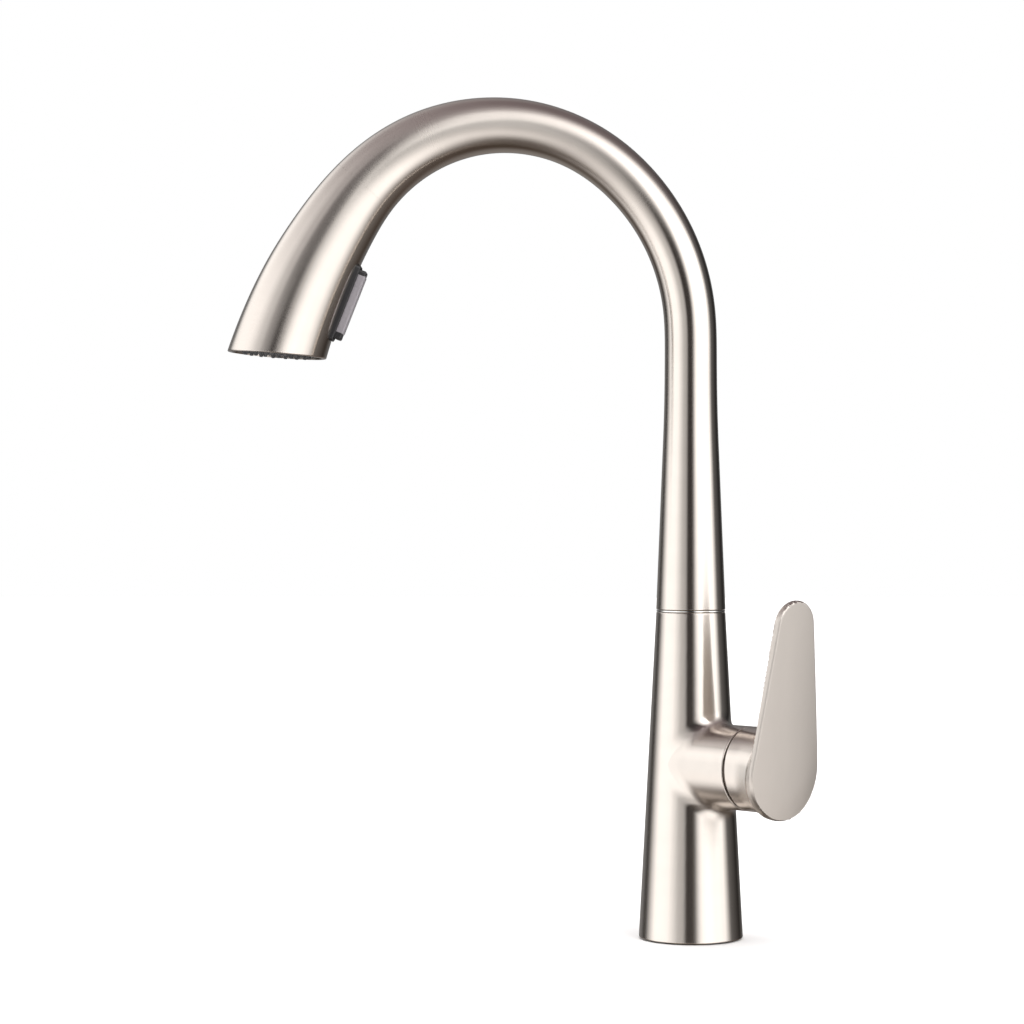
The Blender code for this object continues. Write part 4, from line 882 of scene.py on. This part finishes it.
def make_spout():
    """The tapered gooseneck, from the slip ring to the docking seam."""
    seam = SPOUT_LENGTH - HEAD_LENGTH - HAIRLINE / 2
    spout = swept_shell("gooseneck", 0, seam, SPOUT_WALL, FOOT_EDGE, SEAM_EDGE)
    finished(spout, "spout_tube")


def rounded_box(name, low, high, corner, edge, segments=6):
    """A box in the rocker's seat, its corners in YZ rounded by corner and its -X face's edges by edge."""
    (x0, y0, z0), (x1, y1, z1) = low, high
    layers = [(x1, 0.0), (x0 + edge, 0.0)] if edge else [(x1, 0.0)]
    for i in range(1, segments + 1):
        a = math.radians(90 * i / segments)
        layers.append((x0 + edge * (1 - math.sin(a)), edge * (1 - math.cos(a))))
    rings = []
    for x, inset in layers:
        ring = []
        for k, (cy, cz) in enumerate(((y1, z1), (y0, z1), (y0, z0), (y1, z0))):
            middle_y = cy - math.copysign(corner, cy)
            middle_z = cz - math.copysign(corner, cz)
            for j in range(segments + 1):
                a = math.radians(90 * (k + j / segments))
                reach = corner - inset
                ring.append((x, middle_y + reach * math.cos(a), middle_z + reach * math.sin(a)))
        rings.append(ring)
    return grid_mesh(name, rings, SEAT, capped=True)


def make_head():
    """The curved horn, with its slot for the rocker."""
    start = SPOUT_LENGTH - HEAD_LENGTH + HAIRLINE / 2
    head = swept_shell("head_casting", start, SPOUT_LENGTH, HEAD_WALL, SEAM_EDGE, MOUTH_EDGE, 2.0, 128)
    cut(head, rounded_box("slot", *SLOT_BOX, 2.0, 0))
    finished(head, "head_shell")


def make_rocker():
    """The spray button: a grey cover on a black carrier with its ends bare, in a black frame."""
    edging = rounded_box("toggle_surround", *FRAME_BOX, 1.8, 0.8)
    cut(edging, rounded_box("well", *WELL_BOX, 1.2, 0))
    finished(edging, "toggle_frame")
    half, wide, proud = ROCKER_HALF_LENGTH, ROCKER_HALF_WIDTH, ROCKER_PROUD
    sunk, narrow, under = 0.3, 0.1, -0.3  # of the carrier, against the cover
    low, high = (sunk - proud, narrow - wide, -half), (under, wide - narrow, half)
    carrier = rounded_box("rocker_carrier", low, high, 1.2, 0.9)
    finished(carrier, "toggle_rocker", "dark_plastic")
    bare_low, bare_high, cover_under = 2.2, 3.0, -0.6
    low, high = (-proud, -wide, bare_low - half), (cover_under, wide, half - bare_high)
    cover = rounded_box("rocker_cover", low, high, 0.9, 1.0)
    cover.data.materials.append(MATERIALS["button_grey"])
    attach(cover, "rocker")


OUTLET_TURN = math.radians(FACE_ANGLE)
OUTLET_AXIS = (-math.sin(OUTLET_TURN), 0, math.cos(OUTLET_TURN))
OUTLET = frame_on((LINE[1][-1] * MM, 0, LINE[2][-1] * MM), OUTLET_AXIS, (0, 1, 0))
FACE_BORE, FACE_RIM, SHEET_RADIUS = 7.2, 21.0, 19.2


def nozzle_places():
    for radius, count in NOZZLE_RINGS:
        for i in range(count):
            a = math.tau * (i + 0.5) / count
            yield radius * math.cos(a), radius * math.sin(a)


def repeated(name, outline, places, steps=20):
    """One mesh of turned solids, at points of the outlet plane."""
    turns = np.arange(steps) * math.tau / steps
    points, faces = [], []
    for x, y in places:
        base = len(points)
        for radius, height in outline:
            points += [(x + radius * math.cos(a), y + radius * math.sin(a), height) for a in turns]
        last = len(points) - steps
        for ring in range(base, last, steps):
            for j in range(steps):
                a, b = ring + j, ring + (j + 1) % steps
                faces.append((a, b, b + steps, a + steps))
        faces += [tuple(range(base, base + steps))[::-1], tuple(range(last, last + steps))]
    return outward(add_mesh(name, points, faces, OUTLET))


def make_spray_face():
    """The domed face plate with its ring of steps, and the rubber nozzles through it on their sheet."""
    plate = [
        (FACE_BORE, -6.0), (FACE_RIM - 1, -6.0), (FACE_RIM + 0.3, -1.6), (FACE_RIM, -1.0), (19.0, -0.9),
        (18.6, -1.4), (13.6, -1.2), (13.4, -0.8), (8.6, -0.6), (8.2, -1.0), (FACE_BORE, -1.0),
    ]
    face = revolve("face_plate", plate, OUTLET, 128, 0.3)
    cut(face, repeated("nozzle_holes", [(1.3, -9), (1.3, -2.0), (1.75, -0.4), (1.75, 3)], nozzle_places()))
    finished(face, "spray_face")
    nub = [(1.2, -8.0), (1.15, -1.2), (0.95, 0.1), (0.85, 0.35), (0.62, 0.5), (0.35, 0.52)]
    nub += [(0.32, -0.6), (0.1, -0.7)]
    nubs = repeated("nozzle_nubs", nub, nozzle_places())
    nubs.data.materials.append(MATERIALS["nozzle_rubber"])
    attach(nubs, "spray_head")
    sheet = rectangle(FACE_BORE, SHEET_RADIUS, -9.0, -6.3)
    finished(revolve("nozzle_sheet", sheet, OUTLET), "nozzle_mat")


# ---- Hose and spring ----

HOSE_RADIUS, HOSE_START, HOSE_END = 4.2, -33.0, -28.3  # along the docking axis


def make_hose():
    """The short length of braided hose that draws out of the spout behind the head."""
    count, steps = 160, 32
    turns = np.arange(steps) * math.tau / steps
    x, y = HOSE_RADIUS * np.cos(turns), HOSE_RADIUS * np.sin(turns)
    rings = [np.stack([x, y, np.full(steps, z)], 1) for z in np.linspace(HOSE_START, HOSE_END, count + 1)]
    feed = grid_mesh("hose_feed", rings, DOCK, capped=True)
    feed.data.materials.append(MATERIALS["hose_braid"])
    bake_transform(feed)


COIL_RADIUS, WIRE_RADIUS, COIL_LOW, COIL_HIGH, COIL_TURNS = 2.0, 0.3, 9.9, 13.9, 4


def make_spring():
    """The check valve's coil, built at one length; the real coil shortens as the poppet opens towards the
    outlet.
    """
    per_turn, sides = 24, 10
    climb = math.atan2((COIL_HIGH - COIL_LOW) / COIL_TURNS, math.tau * COIL_RADIUS)
    share = np.linspace(0, 1, COIL_TURNS * per_turn + 1)[:, None]
    a, b = share * COIL_TURNS * math.tau, np.arange(sides) * math.tau / sides
    out, up = COIL_RADIUS + WIRE_RADIUS * np.cos(b), WIRE_RADIUS * np.sin(b)
    slide = up * math.sin(climb)
    x, y = out * np.cos(a) + slide * np.sin(a), out * np.sin(a) - slide * np.cos(a)
    z = COIL_LOW + (COIL_HIGH - COIL_LOW) * share + up * math.cos(climb)
    spring = grid_mesh("check_valve_coil", np.stack([x, y, z], 2), DOCK, capped=True)
    spring.data.materials.append(MATERIALS["steel"])
    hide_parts("check_valve_spring")
    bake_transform(spring)


# ---- Studio ----


def ramp(tree, value, stops):
    """A colour ramp with stops of (place from 0 to 1, brightness or colour)."""
    node = add_node(tree, "ShaderNodeValToRGB")
    elements = node.color_ramp.elements
    while len(elements) < len(stops):
        elements.new(0.5)
    for element, (place, level) in zip(elements, stops):
        element.position = place
        element.color = (level, level, level, 1) if isinstance(level, (int, float)) else (*level, 1)
    tree.links.new(value, node.inputs["Fac"])
    return node.outputs["Color"]


def vector_math(tree, operation, a, b):
    node = add_node(tree, "ShaderNodeVectorMath", operation=operation)
    for socket, value in zip(node.inputs, (a, b)):
        if isinstance(value, tuple):
            socket.default_value = value
        else:
            tree.links.new(value, socket)
    return node.outputs["Vector"]


# The studio's soft boxes as brightness by bearing, in degrees from straight behind the camera and positive to
# its right, times brightness by height above the horizon
RIGHT_BOX = (
    (
        (-19, 0.0), (-15, 0.02), (4, 0.02), (7, 0.08), (12, 0.55), (17, 0.98), (25, 1.35), (38, 1.55),
        (54, 1.45), (64, 1.1), (73, 0.72), (82, 0.45), (92, 0.25), (104, 0.12), (120, 0.06), (140, 0.0),
    ),
    (
        (-90, 0.0), (-72, 0.1), (-62, 0.28), (-52, 0.45), (-44, 0.7), (-34, 0.9), (-24, 1.0), (38, 1.0),
        (48, 0.8), (58, 0.4), (70, 0.15), (90, 0.0),
    ),
)
OVERHEAD_BOX = (
    ((0, 0.0), (9, 1.2), (18, 1.7), (50, 1.2), (85, 0.0)),
    ((8, 0.0), (20, 0.9), (42, 0.9), (56, 0.2), (74, 0.0)),
)
LOW_BOX = (
    ((-85, 0.0), (-50, 0.5), (50, 0.5), (80, 0.0)),
    ((-62, 0.0), (-50, 0.5), (-40, 0.8), (-28, 0.4), (-18, 0.0)),
)
RIGHT_CARD = (
    ((54, 0.0), (66, 0.8), (80, 1.5), (88, 0.8), (98, 0.0)),
    ((-26, 0.0), (-16, 0.3), (-4, 0.7), (12, 1.0), (26, 1.0), (40, 0.0)),
)
BACK_BOX = (
    ((-180, 0.2), (-150, 0.15), (-135, 0.0), (135, 0.0), (155, 0.12), (180, 0.2)),
    ((-70, 0.0), (-50, 1.0), (50, 1.0), (70, 0.0)),
)
LEFT_BOX_INNER = (
    (-75, 1.55), (-58, 1.5), (-44, 1.1), (-34, 0.7), (-22, 0.64), (-19, 0.5), (-14, 0.02), (-10, 0.0),
)
LEFT_BOX_OUTER = ((-132, 0.03), (-126, 0.04), (-118, 0.2), (-106, 0.6), (-95, 0.95), (-85, 1.0))
LEFT_BOX_UP = (
    (-90, 0.0), (-62, 0.05), (-50, 0.12), (-44, 0.35), (-38, 0.7), (-30, 0.95), (-24, 1.0), (28, 1.0),
    (38, 0.6), (47, 0.2), (62, 0.08), (90, 0.0),
)
# From the level up to the turn above it, the left box's inner edge leans and its outer edge wraps, in degrees
# of bearing for each degree of height
LEFT_BOX_LEVEL, LEFT_BOX_TURN, LEFT_BOX_LEAN, LEFT_BOX_WRAP = 8.0, 16.0, 0.9, 2.5
CEILING, GROUND = (0.22, 0.175, 0.185), (0.075, 0.055, 0.042)
BRIGHTEST = 1.6


def by_degrees(tree, degrees, full, stops):
    """A ramp over degrees, which run from minus to plus half of full."""
    place = maths(tree, "MULTIPLY_ADD", degrees, 1 / full, 0.5)
    return ramp(tree, place, [(at / full + 0.5, level) for at, level in stops])


def by_bearing(tree, bearing, stops):
    return by_degrees(tree, bearing, 360, [(a, level / BRIGHTEST) for a, level in stops])


def by_height(tree, height, stops):
    return by_degrees(tree, height, 180, stops)


def make_studio():
    """Tall soft boxes left and right, a dark gap between, weaker light above and below, a pale backdrop."""
    world = bpy.data.worlds.new("studio")
    world.use_nodes = True
    bpy.context.scene.world = world
    tree = world.node_tree
    tree.nodes.clear()
    x, y, z = separated(tree, add_node(tree, "ShaderNodeTexCoord").outputs["Generated"])
    forward = maths(tree, "MULTIPLY", y, -1.0)
    bearing = maths(tree, "DEGREES", maths(tree, "ARCTAN2", x, forward))
    height = maths(tree, "DEGREES", maths(tree, "ARCSINE", z))
    beyond = maths(tree, "MAXIMUM", maths(tree, "SUBTRACT", height, LEFT_BOX_LEVEL), 0.0)
    raised = maths(tree, "MINIMUM", beyond, LEFT_BOX_TURN)
    leaning = maths(tree, "ADD", bearing, maths(tree, "MULTIPLY", raised, LEFT_BOX_LEAN))
    wrapping = maths(tree, "ADD", bearing, maths(tree, "MULTIPLY", raised, LEFT_BOX_WRAP))
    inner = by_bearing(tree, leaning, LEFT_BOX_INNER)
    outer = vector_math(tree, "MULTIPLY", by_bearing(tree, wrapping, LEFT_BOX_OUTER), (BRIGHTEST,) * 3)
    left = vector_math(tree, "MULTIPLY", inner, outer)
    light = vector_math(tree, "MULTIPLY", left, by_height(tree, height, LEFT_BOX_UP))
    for round_stops, up_stops in (RIGHT_BOX, OVERHEAD_BOX, LOW_BOX, RIGHT_CARD, BACK_BOX):
        around, up = by_bearing(tree, bearing, round_stops), by_height(tree, height, up_stops)
        light = vector_math(tree, "ADD", light, vector_math(tree, "MULTIPLY", around, up))
    light = vector_math(tree, "MULTIPLY", light, (BRIGHTEST,) * 3)
    black = (0.0, 0.0, 0.0)
    fill = by_height(tree, height, [(-90, GROUND), (-20, GROUND), (-5, black), (20, black), (65, CEILING)])
    light = vector_math(tree, "ADD", light, fill)
    studio = add_node(tree, "ShaderNodeBackground")
    tree.links.new(light, studio.inputs["Color"])
    backdrop = add_node(tree, "ShaderNodeBackground", {"Color": (1, 1, 1, 1), "Strength": 1.0})
    seen = add_node(tree, "ShaderNodeLightPath").outputs["Is Camera Ray"]
    mix = add_node(tree, "ShaderNodeMixShader")
    tree.links.new(seen, mix.inputs["Fac"])
    tree.links.new(studio.outputs[0], mix.inputs[1])
    tree.links.new(backdrop.outputs[0], mix.inputs[2])
    tree.links.new(mix.outputs[0], add_node(tree, "ShaderNodeOutputWorld").inputs["Surface"])


def make_floor():
    """A pale floor at the deck's height, left out of the metal's reflections."""
    mesh = bpy.data.meshes.new("floor")
    half, level = 6.0, -0.0001
    mesh.from_pydata([(x, y, level) for x, y in rectangle(-half, half, -half, half)], [], [(0, 1, 2, 3)])
    floor = linked("floor", mesh)
    material, tree, shader = new_material("pale_floor", (0.93, 0.93, 0.925), 0.8)
    place = add_node(tree, "ShaderNodeTexCoord").outputs["Object"]
    tinted(tree, shader, noise(tree, place, 2.0, 2.0), (0.92, 0.92, 0.915), (0.94, 0.94, 0.935))
    mesh.materials.append(material)
    floor.visible_glossy = False


def make_lights():
    """A wide soft light overhead for the floor, which the metal doesn't mirror."""
    light = bpy.data.lights.new("overhead", "SUN")
    light.energy = 3.0
    light.angle = math.radians(70)
    lamp = linked("overhead", light)
    lamp.location = (0, -0.3, 2.2)
    lamp.visible_glossy = False


def make_camera():
    """Level, square to the spout's plane, with a long lens."""
    camera = bpy.data.cameras.new("camera")
    camera.lens = 96.68
    camera.sensor_width = 36.0
    camera.shift_y = 0.0077
    obj = linked("camera", camera)
    obj.location = (-0.0894, -1.375, 0.2088)
    obj.rotation_euler = (math.radians(90), 0, 0)
    bpy.context.scene.camera = obj
    bpy.context.scene.view_settings.view_transform = "Standard"


# ---- Everything together ----

TURNED = (
    (COLUMN, "base_gasket rubber_washer metal_washer post_lock_nut swivel_post slip_ring lower_o_ring"),
    (COLUMN, "upper_o_ring retaining_clip hose_coupling spout_insert mounting_shank mounting_nut"),
    (VALVE, "cartridge_housing cartridge_nut dome_ring"),
    (DOCK, "dock_collar hose_ferrule hose_ball_joint head_neck ball_retainer check_valve_cage"),
    (DOCK, "check_valve_poppet"),
    (ENGINE, "diverter_spool"),
    (OUTLET, "aerator spray_manifold aerator_insert"),
)


def make_small_turned():
    for axis, nodes in TURNED:
        for node in nodes.split():
            spin_again(node, axis)


def paint_the_rest():
    """Materials on the CAD nodes that keep their shapes."""
    for node, obj in frame["nodes"].items():
        obj.data.materials.clear()
        obj.data.materials.append(MATERIALS[SLOTS[node]])


paint_the_rest()
make_body()
make_lever()
make_spout()
make_head()
make_rocker()
make_spray_face()
make_hose()
make_spring()
make_small_turned()
make_studio()
make_floor()
make_lights()
make_camera()
